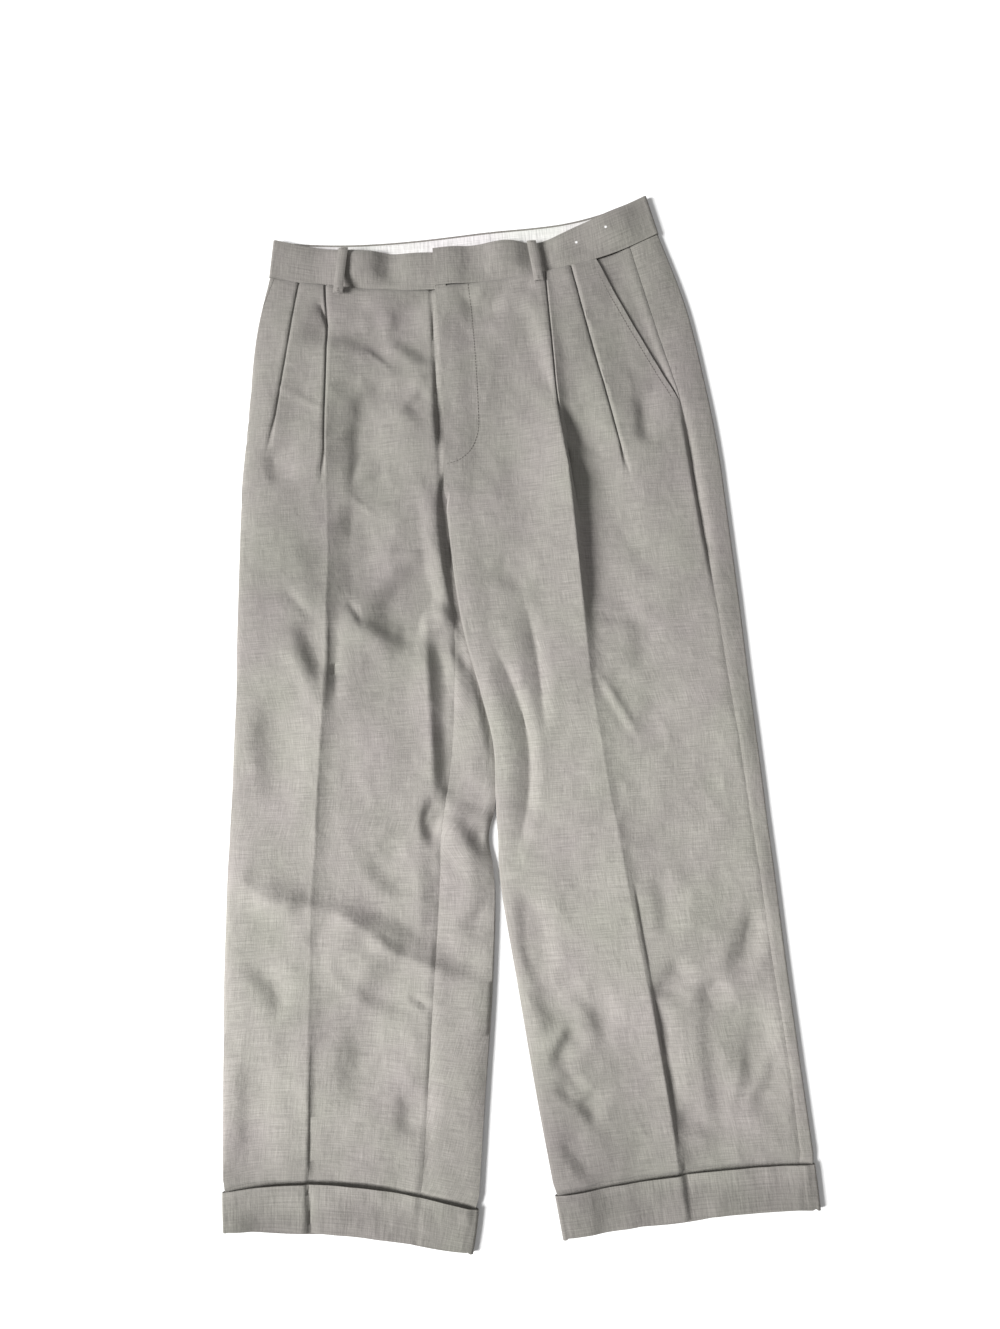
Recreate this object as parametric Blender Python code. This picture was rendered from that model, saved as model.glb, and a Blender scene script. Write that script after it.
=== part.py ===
"""Pleated dress trousers with turn-ups, lying flat on their back.

The frame: +X to the wearer's left, +Y from the hems to the waist, +Z up off the surface below,
with the origin under the middle of the garment.  Tables and constants are in millimetres, and
only the finished meshes are in metres.

Every leg is a flattened tube.  A Row is one cut across it, from the inner edge to the outer one,
and a place on the cut is a layer and a position: "top" the distance from the inner edge on the
upper layer, "under" the distance from the outer edge on the lower layer, "inner" and "outer" an
angle round that edge's fold in degrees, 0 on top and 180 underneath.
A panel is a grid of such places, one line of them for each row, given its thickness both ways.
"""
from collections import namedtuple
from math import cos, exp, hypot, pi, radians, sin

import bmesh
import bpy
import numpy as np

MM = 0.001

# Cloth and gaps.
CLOTH = 1.0                # wall of a panel
BAND = 2.2                 # waistband with its stiffening
LINING = 0.9               # waistband lining
TURN_UP = 1.2              # doubled cloth of a turn-up
LOOP = 1.2                 # belt loop
GAP = 0.3                  # between pieces that meet

# The flattened tube.
EDGE_RADIUS = 1.5          # of a leg's folded edges, at the middle of the wall
TUCKED_RADIUS = 1.1        # the same inside a turn-up
BAND_RADIUS = 2.6          # of the waistband where it turns at the side
TURN_UP_RADIUS = 2.5
PUFF = 2.6                 # how much the upper layer rises inside its edges
TUCKED_PUFF = 1.0          # the same inside a turn-up
PUFF_REACH = 14.0
DEEPEST_FOLD = 3.6         # below the puffed layer
FOLD_END = 20.0            # over which a soft fold fades past each end of its line

# Waist, fly and loops.
RIGHT_BAND_HEIGHT = 43.0
LEFT_BAND_HEIGHT = 43.0
LEFT_BAND_GAIN = 3.0       # more of it at the side
RIGHT_BAND_SLANT = 6.0     # of the side edge, in X over the waistband's height
LEFT_BAND_SLANT = -10.0
BAND_SLANT_REACH = 120.0
BAND_DIP = 6.0             # the top edge dips beside the left loop
BAND_DIP_X = 88.0
BAND_DIP_WIDTH = 45.0
FLY_LAP = 12.0             # right front under left front
FLY_RISE = CLOTH + 1.0     # left front over right front
FLY_LEVEL = 2.0            # beyond the lap at full height
FLY_FALL = 24.0
FLY_SPOTS = (0.0, 2.0, 4.0, 7.0)
BAND_LAP_RISE = BAND + 0.4
BAND_LAP_LEVEL = 3.0
BAND_LAP_FALL = 26.0
BAND_WAVE_FADE = 30.0      # the waves die out toward the side
BAND_SPOTS = (0.0, 6.0, 12.0, 22.0, 38.0)    # near the front end
BAND_SIDE_SPOT = 8.0       # the last one on top, from the side edge
BAND_SIDE_GAP = 12.5       # between it and the evenly spaced ones
BAND_SHARES = (0.0, 0.35, 0.7, 1.0)
LINING_INSET = 3.0         # below the waistband's top edge
LINING_DEPTH = 40.0
LINING_SIDE = 12.0         # clear of the side fold
RIGHT_LOOP_X = -132.0
LEFT_LOOP_X = 77.0
LOOP_WIDTH = 10.0
LOOP_BELOW_SEAM = 11.0
LOOP_BELOW_TOP = 1.5
LOOP_LEAN = 4.0            # in X over its length
LOOP_STANDOFF = 1.3
LOOP_ARCH = 0.8
LOOP_SHARES = (0.0, 0.15, 0.4, 0.65, 0.85, 1.0)

# Left leg over right leg, between the fork and the knee.
LEG_OVER_LEG = 5.4
OVERLAP_REACH = 10.0
OVERLAP_FALL = 28.0

# Pleats: a Z of three layers, which opens out below.
PLEAT_LAYER = CLOTH + 0.4
PLEAT_EDGE = 1.2
PLEAT_STEP = 0.5
PLEAT_CLEAR = 3.5              # level cloth outside a pleat
PLEAT_DEPTHS = (20.0, 16.0)    # at the waist seam, inner and outer pleat
PLEAT_LENGTHS = (2.6, 2.8)     # stations below the waist seam where a pleat has opened
PLEAT_RAMPS = (9.0, 4.0)       # over which the cloth climbs onto a pleat
PLEAT_TURNS = (1.5, 1.15, 0.85, 0.5)    # heights round its two folds, in layers
PLEAT_OPEN = 0.01
FRONT_MARGIN = 15.0            # level cloth beside the inner edge

# Slanted pockets.
POCKET_TOP = 39.0          # mouth to side seam at the waist
POCKET_STATIONS = 2.1      # length of the mouth, in stations
POCKET_CURVE = 1.35        # a mouth that bends toward the side seam
FACING_TURN = 20.0         # degrees of the outer edge between mouth and facing

# Pressed creases and turn-ups.
BOW_SKEW = 1.2             # puts the highest point of a bow nearer the outer edge
CREASE_INSIDE = 62.0       # reach of the ridge toward the inner edge
CREASE_OUTSIDE = 13.0
TURN_UP_TUCK = 1.5         # lift of a leg inside its turn-up
TURN_UP_INSET = 1.8
TURN_UP_EASE = 0.7         # between a leg's upper layer and its turn-up
TURN_UP_START = 0.15       # stations over which a leg narrows into its turn-up
TURN_UP_MARGIN = 6.0       # its first and last places on top
TURN_UP_CREASE = (9.0, 10.0)    # places before and after the crease

# Seams and shading.
SEAM_SPOTS = (9.0, 6.0, 3.0, 0.0)    # the back's last places before the centre seam
SHARP_ANGLE = 50.0

Row = namedtuple(
    "Row",
    "inner_x inner_y outer_x outer_y bow back_x back_y back_bow "
    "crease_x second inseam_in side_in overlap crease_rise",
)

# One row per station.  bow lifts the middle of the cut toward the waist; back_x and back_y end the
# lower layer; second is how far outside the crease the outer pleat runs; inseam_in and side_in are
# how far those seams lie in from their edge, negative on the underside; overlap is 1 where the left
# leg lies on the right one; crease_rise is the height of the pressed ridge.
RIGHT_ROWS = (
    #   inner x, y  outer x, y   bow  back x, y, bow    crease 2nd inseam side lap ridge
    Row(-21, 443, -213, 470, -8, 31, 467, -8, -151, 29, 0, -34, 1, 0.5),       # 0 waist seam
    Row(-22, 390, -230, 400, -4, 27, 404, -6, -152, 41, 0, -29, 1, 1.0),        # 1 pocket
    Row(-24, 300, -242, 300, 0, 8, 305, 0, -158, 54, 0, -24, 1, 2.5),           # 2 hip
    Row(-27, 236, -250, 234, 0, -14, 238, 0, -160, 60, 0, -20, 1, 2.0),         # 3 fly foot
    Row(-29, 190, -253, 186, 0, -29, 190, 0, -160, 60, 4, -20, 1, 2.5),         # 4 fork
    Row(-18, 80, -259, 80, 0, -18, 80, 0, -166, 60, 15, -20, 1, 4.5),           # 5 thigh
    Row(-2, 0, -263, 0, 0, -2, 0, 0, -172, 60, 35, -20, 1, 4.0),                # 6 lower thigh
    Row(3, -60, -267, -60, 0, 3, -60, 0, -178, 60, 46, -20, 1, 3.0),            # 7 above the knee
    Row(-2, -115, -271, -110, 0, -2, -115, 0, -183, 60, 51, -20, 1, 3.0),       # 8 knee
    Row(-11, -150, -274, -148, 0, -11, -150, 0, -186, 60, 48, -20, 0, 3.0),     # 9 notch
    Row(-7, -200, -277, -195, 2, -7, -200, 2, -191, 60, 56, -20, 0, 3.0),       # 10 below the knee
    Row(-16, -300, -282, -285, 6, -16, -300, 6, -196, 60, 58, -20, 0, 4.0),     # 11 calf
    Row(-29, -400, -285, -375, 11, -29, -400, 11, -202, 60, 56, -20, 0, 4.0),   # 12 shin
    Row(-42, -502, -288, -471, 15, -42, -502, 15, -207, 60, 55, -20, 0, 3.5),   # 13 turn-up
    Row(-50, -540, -288, -507, 7, -50, -540, 7, -212, 60, 54, -20, 0, 2.5),     # 14 hem
)
LEFT_ROWS = (
    Row(-33, 447, 216, 494, -14, 31, 467, -8, 87, 29, 0, 33, 1, 1.0),          # 0 waist seam
    Row(-32, 390, 240, 404, -8, 27, 404, -6, 88, 40, 0, 39, 1, 2.5),            # 1 pocket
    Row(-32, 300, 254, 303, 0, 8, 305, 0, 90, 55, 0, 31, 1, 8.0),               # 2 hip
    Row(-36, 236, 260, 237, 0, -14, 238, 0, 96, 60, 0, 30, 1, 10.0),            # 3 fly foot
    Row(-34, 190, 262, 190, 0, -29, 190, 0, 99, 60, -5, 30, 1, 10.0),           # 4 fork
    Row(-26, 80, 266, 80, 0, -26, 80, 0, 102, 60, -5, 25, 1, 7.0),              # 5 thigh
    Row(-10, 0, 268, 4, 0, -10, 0, 0, 105, 60, -5, 22, 1, 3.0),                 # 6 lower thigh
    Row(0, -56, 270, -52, 0, 0, -56, 0, 110, 60, -5, 20, 1, 2.5),               # 7 above the knee
    Row(-1, -112, 272, -112, 0, -1, -112, 0, 115, 60, -5, 18, 1, 2.5),          # 8 knee
    Row(-1, -150, 273, -150, 0, -1, -150, 0, 120, 60, -5, 17, 0, 2.5),          # 9 notch
    Row(-1, -200, 275, -200, 0, -1, -200, 0, 125, 60, -5, 16, 0, 3.0),          # 10 below the knee
    Row(10, -300, 278, -296, 2, 10, -300, 2, 136, 60, -5, 14, 0, 4.0),          # 11 calf
    Row(21, -400, 282, -393, 4, 21, -400, 4, 147, 60, -5, 12, 0, 5.0),          # 12 shin
    Row(33, -494, 286, -481, 6, 33, -494, 6, 153, 60, -5, 14, 0, 4.0),          # 13 turn-up
    Row(38, -533, 287, -521, 4, 38, -533, 4, 157, 60, -5, 14, 0, 3.0),          # 14 hem
)
FORK = 4                   # stations above this one are open at the inner edge
TOP_OF_TURN_UP = 13
HEM = 14
STATIONS = (
    0.0, 0.5, 1.0, 1.3, 1.6, 2.0, 2.5, 3.0, 3.5, 4.0, 4.5, 5.0, 5.5, 6.0, 6.5, 7.0, 7.5, 8.0,
    9.0, 10.0, 10.5, 11.0, 11.5, 12.0, 12.85, 13.0, 13.98,
)
FACING_STATIONS = (0.0, 0.5, 1.0, 1.3, 1.6, 1.95)

# The largest soft folds: a ridge (or with a negative height a trough) along a straight line, which
# falls to nothing over its two widths, "left" and "right" of the way from start to end.
Fold = namedtuple("Fold", "start_x start_y end_x end_y height left right")
FOLDS = (
    Fold(-57, 62, -57, -25, -4.0, 14, 12),         # deep trough beside the right inseam
    Fold(-36, 70, -33, -80, 2.0, 14, 16),          # ridge along the right inseam
    Fold(-60, 143, -128, 90, -2.5, 18, 22),        # trough from the fork across the right thigh
    Fold(-143, 200, -143, 128, -2.0, 10, 10),      # trough beside the right crease
    Fold(-245, -160, -195, -207, -2.5, 24, 14),    # outer part of the fold below the right knee
    Fold(-190, -207, -40, -285, -4.0, 30, 12),     # the long fold below the right knee
    Fold(-74, -100, -72, -150, -3.0, 9, 9),        # knee of the right inseam
    Fold(-60, -120, -18, -195, 3.0, 12, 14),       # ridge below the notch
    Fold(57, 400, 76, 312, -3.0, 11, 10),          # trough inside the first left pleat
    Fold(177, 305, 177, 260, -2.0, 8, 8),          # dent beside the left pocket
    Fold(41, 70, 57, -10, -3.0, 10, 10),           # trough down the left thigh
    Fold(12, 15, 33, -60, -3.5, 14, 12),           # crescent along the left inner edge, upper
    Fold(33, -65, 16, -145, -3.5, 14, 12),         # the same, lower
    Fold(26, -300, 48, -415, -3.0, 16, 14),        # inner side of the left shin
    Fold(232, -245, 190, -320, -2.0, 22, 12),      # outer side of the left calf
    Fold(187, -330, 195, -440, -2.0, 26, 8),
)
# Soft waves of the front waistband: middle, half width and height of each.
Wave = namedtuple("Wave", "x half_width height")
BAND_WAVES = (
    Wave(-112, 26, 1.2),
    Wave(-72, 18, -0.6),
    Wave(8, 20, -0.6),
    Wave(38, 22, 1.2),
    Wave(66, 14, -0.5),
    Wave(150, 34, 0.8),
)

GREIGE = (0.375, 0.352, 0.330, 1.0)
GREIGE_INSIDE = (0.300, 0.280, 0.262, 1.0)
WHITE = (0.730, 0.725, 0.730, 1.0)


def clamp(value, low=0.0, high=1.0):
    return min(max(value, low), high)


def smooth(value):
    """A soft step from 0 to 1."""
    t = clamp(value)
    return t * t * (3 - 2 * t)


def row_at(rows, station):
    """The cut at any station: a Catmull-Rom curve through every column of the table."""
    i = min(int(station), len(rows) - 2)
    t = station - i
    before = np.array(rows[max(i - 1, 0)])
    here = np.array(rows[i])
    after = np.array(rows[i + 1])
    beyond = np.array(rows[min(i + 2, len(rows) - 1)])
    bend = 2 * before - 5 * here + 4 * after - beyond
    twist = 3 * here - before - 3 * after + beyond
    values = here + 0.5 * t * (after - before + t * (bend + t * twist))
    return Row(*values)


def relief(x, y):
    """Height of the soft folds over the flat upper layer."""
    total = 0.0
    for fold in FOLDS:
        run_x = fold.end_x - fold.start_x
        run_y = fold.end_y - fold.start_y
        length = hypot(run_x, run_y)
        along = ((x - fold.start_x) * run_x + (y - fold.start_y) * run_y) / length
        aside = ((y - fold.start_y) * run_x - (x - fold.start_x) * run_y) / length
        width = fold.left if aside > 0 else fold.right
        across = smooth(1 - abs(aside) / width)
        begin = smooth((along + FOLD_END) / (2 * FOLD_END))
        finish = smooth((length + FOLD_END - along) / (2 * FOLD_END))
        total += fold.height * across * begin * finish
    return max(total, -DEEPEST_FOLD)


class Leg:
    """One leg as a flattened tube, with side +1 for the wearer's left."""

    def __init__(self, name, side, rows):
        self.name = name
        self.side = side
        self.rows = rows

    def tuck(self, station):
        """1 where the leg is inside its turn-up."""
        return clamp((station - TOP_OF_TURN_UP) / TURN_UP_START + 1)

    def radius(self, station):
        return EDGE_RADIUS + (TUCKED_RADIUS - EDGE_RADIUS) * self.tuck(station)

    def width(self, station):
        row = row_at(self.rows, station)
        return hypot(row.outer_x - row.inner_x, row.outer_y - row.inner_y)

    def lift(self, station, position):
        """How far both layers of the left leg rise over the right leg's inner edge."""
        if self.side < 0 or station < FORK:
            return 0.0
        lap = row_at(self.rows, station).overlap
        fall = smooth((position - OVERLAP_REACH) / OVERLAP_FALL)
        return LEG_OVER_LEG * smooth(lap * 2) * (1 - fall)

    def fly_rise(self, station, position):
        """The left front's rise over the right front along the fly."""
        if self.side < 0 or station >= FORK:
            return 0.0
        return FLY_RISE * (1 - smooth((position - FLY_LAP - FLY_LEVEL) / FLY_FALL))

    def on_line(self, station, position, lower=False):
        """X and Y at a distance from the inner edge along the cut."""
        row = row_at(self.rows, station)
        start = np.array((row.back_x, row.back_y) if lower else (row.inner_x, row.inner_y))
        end = np.array((row.outer_x, row.outer_y))
        inset = TURN_UP_INSET * self.tuck(station)
        full = float(np.hypot(*(end - start)))
        fraction = (inset + position * (full - 2 * inset) / full) / full
        bow = row.bow
        if lower:
            fraction = 1 - fraction
            bow = row.back_bow
        point = start + (end - start) * fraction
        skewed = clamp(fraction) ** BOW_SKEW
        point[1] += bow * 4 * skewed * (1 - skewed)
        return point

    def top_height(self, station, position):
        """Middle of the upper wall above the surface below, without the lifts."""
        row = row_at(self.rows, station)
        width = self.width(station)
        x, y = self.on_line(station, position)
        nearest = width - position if station < FORK else min(position, width - position)
        inside = 1 - exp(-max(nearest, 0) / PUFF_REACH)
        from_crease = position - self.crease(station)
        reach = CREASE_INSIDE if from_crease < 0 else CREASE_OUTSIDE
        ridge = row.crease_rise * max(1 - abs(from_crease) / reach, 0) ** 1.5
        base = CLOTH / 2 + TURN_UP_TUCK * self.tuck(station) + 2 * self.radius(station)
        puff = PUFF - (PUFF - TUCKED_PUFF) * smooth(station - TOP_OF_TURN_UP + 1)
        return base + inside * (puff + ridge + relief(x, y))

    def place(self, station, layer, position, rise=0.0):
        """The point of the middle of the wall at a place on the cut."""
        radius = self.radius(station)
        width = self.width(station)
        floor = CLOTH / 2 + TURN_UP_TUCK * self.tuck(station)
        if layer == "top":
            x, y = self.on_line(station, position)
            height = self.top_height(station, position) + self.fly_rise(station, position) + rise
            return np.array((x, y, height + self.lift(station, position)))
        if layer in ("inner", "outer"):
            angle = radians(position)
            near = radius * (1 - sin(angle))
            along = near if layer == "inner" else width - near
            x, y = self.on_line(station, along)
            height = floor + radius * (1 + cos(angle))
            return np.array((x, y, height + self.lift(station, along)))
        along = width - position
        x, y = self.on_line(station, position, lower=True)
        return np.array((x, y, floor + self.lift(station, along)))

    def lower_reach(self, station):
        """Length of the lower layer, from the outer edge to its inner end."""
        row = row_at(self.rows, station)
        return hypot(row.outer_x - row.back_x, row.outer_y - row.back_y)

    def front_outer_end(self, station):
        """Distance in from the outer edge where the front ends, negative underneath."""
        row = row_at(self.rows, station)
        mouth = POCKET_TOP * (1 - clamp(station / POCKET_STATIONS) ** POCKET_CURVE)
        return row.side_in + mouth

    def crease(self, station):
        row = row_at(self.rows, station)
        return abs(row.crease_x - row.inner_x) * self.width(station) / abs(row.outer_x - row.inner_x)


def pleat_columns(position, depth, ramp):
    """One pleat as (position, rise) pairs, inner to outer.

    The upper layer comes out over a Z of two more layers and turns back at its edge; once the
    depth is used up the three layers spread out flat side by side.
    """
    edge = PLEAT_EDGE
    shallow = 3 * edge
    spread = max(depth, -shallow)
    layer = PLEAT_LAYER * clamp(1 + spread / shallow)
    turn = clamp(spread / (4 * edge), -1.0, 1.0)
    back = position - spread
    top_start = min(back, position - edge) - PLEAT_STEP
    if spread < shallow:
        top_start = position - 2 * edge - 2 * PLEAT_STEP
    turns = [layer * height for height in PLEAT_TURNS]
    return [
        (min(back, position) - ramp, 0.0),
        (top_start, 2 * layer),
        (position - edge, 2 * layer),
        (position, turns[0]),
        (position - edge * turn, turns[1]),
        (back + edge * turn, turns[2]),
        (back, turns[3]),
        (back + edge, 0.0),
        (max(position, back + edge) + PLEAT_CLEAR, 0.0),
    ]


def front_columns(leg, station):
    """The places along one cut of a front panel, inner to outer."""
    row = row_at(leg.rows, station)
    crease = leg.crease(station)
    if leg.side < 0:
        begin = row.inseam_in + GAP / 2 if station >= FORK else 0.0
        start = [("top", begin, 0.0)]
    elif station < FORK:
        begin = 0.0
        start = [("top", spot, 0.0) for spot in FLY_SPOTS]
    else:
        begin = 0.0
        under = leg.lower_reach(station) - leg.radius(station) + row.inseam_in
        start = [("under", under, 0.0)]
        start += [("inner", angle, 0.0) for angle in (170, 90, 10)]
    depths = [
        full * (1 - station / length) - PLEAT_OPEN
        for full, length in zip(PLEAT_DEPTHS, PLEAT_LENGTHS)
    ]
    inner_pleat = pleat_columns(crease, depths[0], PLEAT_RAMPS[0])
    outer_pleat = pleat_columns(crease + row.second, depths[1], PLEAT_RAMPS[1])
    first = begin + FRONT_MARGIN
    last = inner_pleat[0][0]
    middle = [("top", first + (last - first) * k / 3, 0.0) for k in range(3)]
    pleats = [("top", spot, rise) for spot, rise in inner_pleat + outer_pleat]
    return start + middle + pleats + outer_columns(leg, station, outer_pleat[-1][0])


def outer_columns(leg, station, begin):
    """The front's last places: on top to a seam there, or round the outer edge and under it."""
    radius = leg.radius(station)
    width = leg.width(station)
    end = leg.front_outer_end(station)
    stop = width - end
    if leg.side > 0:
        return [("top", begin + (stop - begin) * k / 3, 0.0) for k in (1, 2, 3)]
    if end >= radius:
        return [("top", begin + (stop - begin) * k / 6, 0.0) for k in range(1, 7)]
    near = width - radius
    lead = [("top", begin + (near - begin) * k / 2, 0.0) for k in (1, 2)]
    if end >= -radius:
        turned = (radius - end) / (pi * radius) * 180
        return lead + [("outer", turned * k / 4, 0.0) for k in range(1, 5)]
    fold = [("outer", angle, 0.0) for angle in (60, 120, 180)]
    return lead + fold + [("under", radius - end, 0.0)]


def back_columns(leg, station):
    """The places along one cut of a back panel, outer to inner."""
    row = row_at(leg.rows, station)
    radius = leg.radius(station)
    width = leg.width(station)
    lower = leg.lower_reach(station)
    if leg.side > 0:
        start = [("top", width - row.side_in + GAP, 0.0)]
        start += [("outer", angle, 0.0) for angle in (0, 60, 120, 180)]
        stop = lower - GAP / 2 if station < FORK else lower - radius + row.inseam_in - GAP
        return start + spread_under(radius, stop, 8)[1:]
    begin = radius - row.side_in + GAP
    if station < FORK:
        ends = [lower - GAP / 2 - spot for spot in SEAM_SPOTS]
        flat = spread_under(begin, lower - FRONT_MARGIN, 6)
        return flat + [("under", end, 0.0) for end in ends]
    flat = spread_under(begin, lower - radius, 6)
    seam = row.inseam_in - GAP / 2
    fold = [("inner", angle, 0.0) for angle in (120, 60, 0)]
    return flat + fold + [("top", seam, 0.0)]


def spread_under(begin, stop, count):
    """Evenly spaced places on the underside, both ends included."""
    return [("under", begin + (stop - begin) * k / count, 0.0) for k in range(count + 1)]


def facing_columns(leg, station):
    """The pocket facing between the mouth and the side seam."""
    row = row_at(leg.rows, station)
    width = leg.width(station)
    radius = leg.radius(station)
    mouth = leg.front_outer_end(station)
    if leg.side > 0:
        start = width - mouth + GAP
        stop = width - row.side_in - GAP
        return [("top", start + (stop - start) * k / 4, 0.0) for k in range(5)]
    under = ("under", radius - row.side_in - GAP, 0.0)
    if mouth > radius + 1:
        start = width - mouth + GAP
        lead = [("top", start, 0.0), ("top", (start + width - radius) / 2, 0.0)]
        return lead + [("outer", angle, 0.0) for angle in (30, 100, 180)] + [under]
    if mouth > -radius:
        begin = clamp((radius - mouth) / (pi * radius)) * 180 + FACING_TURN
        return [("outer", begin + (180 - begin) * k / 4, 0.0) for k in range(5)] + [under]
    start = radius - mouth + GAP
    stop = under[1]
    return [("under", start + (stop - start) * k / 5, 0.0) for k in range(6)]


def shell(name, grid, wall, material, ring=False):
    """A closed wall of even thickness round a grid of middle points (rows x columns x 3)."""
    rows, columns = grid.shape[:2]
    if ring:
        across = np.roll(grid, -1, axis=1) - np.roll(grid, 1, axis=1)
    else:
        across = np.gradient(grid, axis=1)
    along = np.gradient(grid, axis=0)
    normal = np.cross(across, along)
    normal /= np.linalg.norm(normal, axis=2, keepdims=True)
    outer = (grid + normal * wall / 2).reshape(-1, 3)
    inner = (grid - normal * wall / 2).reshape(-1, 3)
    count = rows * columns
    faces = []
    last = columns if ring else columns - 1
    for i in range(rows - 1):
        for j in range(last):
            a, b = i * columns + j, i * columns + (j + 1) % columns
            c, d = b + columns, a + columns
            faces += [(a, d, c, b), (a + count, b + count, c + count, d + count)]
    for j in range(last):
        a, b = j, (j + 1) % columns
        faces.append((a, b, b + count, a + count))
        a, b = a + (rows - 1) * columns, b + (rows - 1) * columns
        faces.append((b, a, a + count, b + count))
    if not ring:
        for i in range(rows - 1):
            a, d = i * columns, (i + 1) * columns
            faces.append((a, a + count, d + count, d))
            a, d = a + columns - 1, d + columns - 1
            faces.append((d, d + count, a + count, a))
    return add_piece(name, np.vstack((outer, inner)) * MM, faces, material)


def add_piece(name, points, faces, material):
    """A named object from points in metres, with its faces turned outward."""
    mesh = bpy.data.meshes.new(name)
    mesh.from_pydata(points.tolist(), [], faces)
    work = bmesh.new()
    work.from_mesh(mesh)
    bmesh.ops.triangulate(work, faces=work.faces)
    bmesh.ops.recalc_face_normals(work, faces=work.faces)
    work.to_mesh(mesh)
    work.free()
    mesh.shade_smooth()
    mesh.set_sharp_from_angle(angle=radians(SHARP_ANGLE))
    mesh.materials.append(material)
    piece = bpy.data.objects.new(name, mesh)
    bpy.context.scene.collection.objects.link(piece)
    return piece


def cloth_material(name, colour, roughness):
    material = bpy.data.materials.new(name)
    material.use_nodes = True
    shader = material.node_tree.nodes["Principled BSDF"]
    shader.inputs["Base Color"].default_value = colour
    shader.inputs["Roughness"].default_value = roughness
    shader.inputs["Metallic"].default_value = 0.0
    material.diffuse_color = colour
    return material


def leg_grid(leg, columns, stations=STATIONS):
    """The middle points of a panel whose places along each cut come from a column function."""
    return np.array([
        [leg.place(station, layer, spot, rise) for layer, spot, rise in columns(leg, station)]
        for station in stations
    ])


def band_wave(x):
    """Height of the front waistband's soft waves."""
    return sum(wave.height * smooth(1 - abs(x - wave.x) / wave.half_width) for wave in BAND_WAVES)


def band_top(leg, lower_point, lower):
    """The point of the waistband's top edge that belongs to a point of its seam."""
    x, y = lower_point
    outer = row_at(leg.rows, 0).outer_x
    near_side = smooth(1 - abs(outer - x) / BAND_SLANT_REACH)
    if leg.side < 0:
        return np.array((x + RIGHT_BAND_SLANT * near_side, y + RIGHT_BAND_HEIGHT))
    dip = 0.0 if lower else BAND_DIP * smooth(1 - abs(x - BAND_DIP_X) / BAND_DIP_WIDTH)
    height = LEFT_BAND_HEIGHT + LEFT_BAND_GAIN * near_side - dip
    return np.array((x + LEFT_BAND_SLANT * near_side, y + height))


def band_columns(leg):
    """The waistband half from its front end round the side to the centre back."""
    width = leg.width(0)
    lower = leg.lower_reach(0)
    begin = BAND_SPOTS[-1]
    stop = width - BAND_SIDE_GAP
    front = [("top", spot) for spot in BAND_SPOTS]
    front += [("top", begin + (stop - begin) * k / 8) for k in range(1, 8)]
    front += [("top", width - BAND_SIDE_SPOT)]
    fold = [("outer", angle) for angle in (0, 45, 90, 135, 180)]
    under = [("under", BAND_RADIUS + (lower - GAP / 2 - BAND_RADIUS) * k / 8) for k in range(1, 9)]
    return front + fold + under


def band_point(leg, layer, position, share, off=0.0):
    """A point of the waistband's middle, at a share of its height above the seam."""
    width = leg.width(0)
    if layer == "under":
        seam = leg.on_line(0, position, lower=True)
        height = BAND / 2
    else:
        near = 0.0
        angle = radians(position) if layer == "outer" else 0.0
        if layer == "outer":
            near = BAND_RADIUS * (1 - sin(angle))
            position = width - near
        seam = leg.on_line(0, position)
        height = BAND / 2 + BAND_RADIUS * (1 + cos(angle))
        if layer == "top":
            inside = smooth((width - position) / BAND_WAVE_FADE)
            height += band_wave(seam[0]) * inside
            if leg.side > 0:
                fall = smooth((position - FLY_LAP - BAND_LAP_LEVEL) / BAND_LAP_FALL)
                height += BAND_LAP_RISE * (1 - fall)
    top = band_top(leg, seam, layer == "under")
    run = top - seam
    start = seam + run / np.hypot(*run) * GAP
    point = start + (top - start) * share
    return np.array((point[0], point[1], height + off))


def build_waistband(leg, material):
    grid = np.array([
        [band_point(leg, layer, spot, share) for layer, spot in band_columns(leg)]
        for share in BAND_SHARES
    ])
    shell("waistband_" + leg.name, grid, BAND, material)


def build_lining(leg, material):
    """The lining on the inner face of the back waistband."""
    lower = leg.lower_reach(0)
    rise = (BAND + LINING) / 2 + GAP
    height = RIGHT_BAND_HEIGHT if leg.side < 0 else LEFT_BAND_HEIGHT
    shares = (1 - LINING_INSET / height, 0.5, 1 - LINING_DEPTH / height)
    full = lower - GAP / 2 - LINING_SIDE
    spots = [LINING_SIDE + full * k / 10 for k in range(11)]
    grid = np.array([
        [band_point(leg, "under", spot, share, rise) for spot in spots]
        for share in shares
    ])
    shell("waist_lining_" + leg.name, grid, LINING, material)


def build_loop(leg, middle_x, material):
    """A front belt loop over the waistband, down onto the front."""
    row = row_at(leg.rows, 0)
    position = abs(middle_x - row.inner_x)
    seam = leg.on_line(0, position)
    band_face = band_point(leg, "top", position, 0.5)[2] + BAND / 2
    front_face = leg.place(0, "top", position, 2 * PLEAT_LAYER)[2] + CLOTH / 2
    height = max(band_face, front_face) + LOOP_STANDOFF + LOOP / 2
    top = band_top(leg, seam, False)[1] - LOOP_BELOW_TOP
    foot = seam[1] - LOOP_BELOW_SEAM
    grid = np.array([
        [
            (
                middle_x + LOOP_WIDTH * (side - 0.5) + LOOP_LEAN * (share - 0.5) * leg.side,
                top + (foot - top) * share,
                height + LOOP_ARCH * sin(pi * share),
            )
            for side in (0.0, 0.5, 1.0)
        ]
        for share in LOOP_SHARES
    ])
    shell("belt_loop_" + leg.name, grid, LOOP, material)


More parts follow.
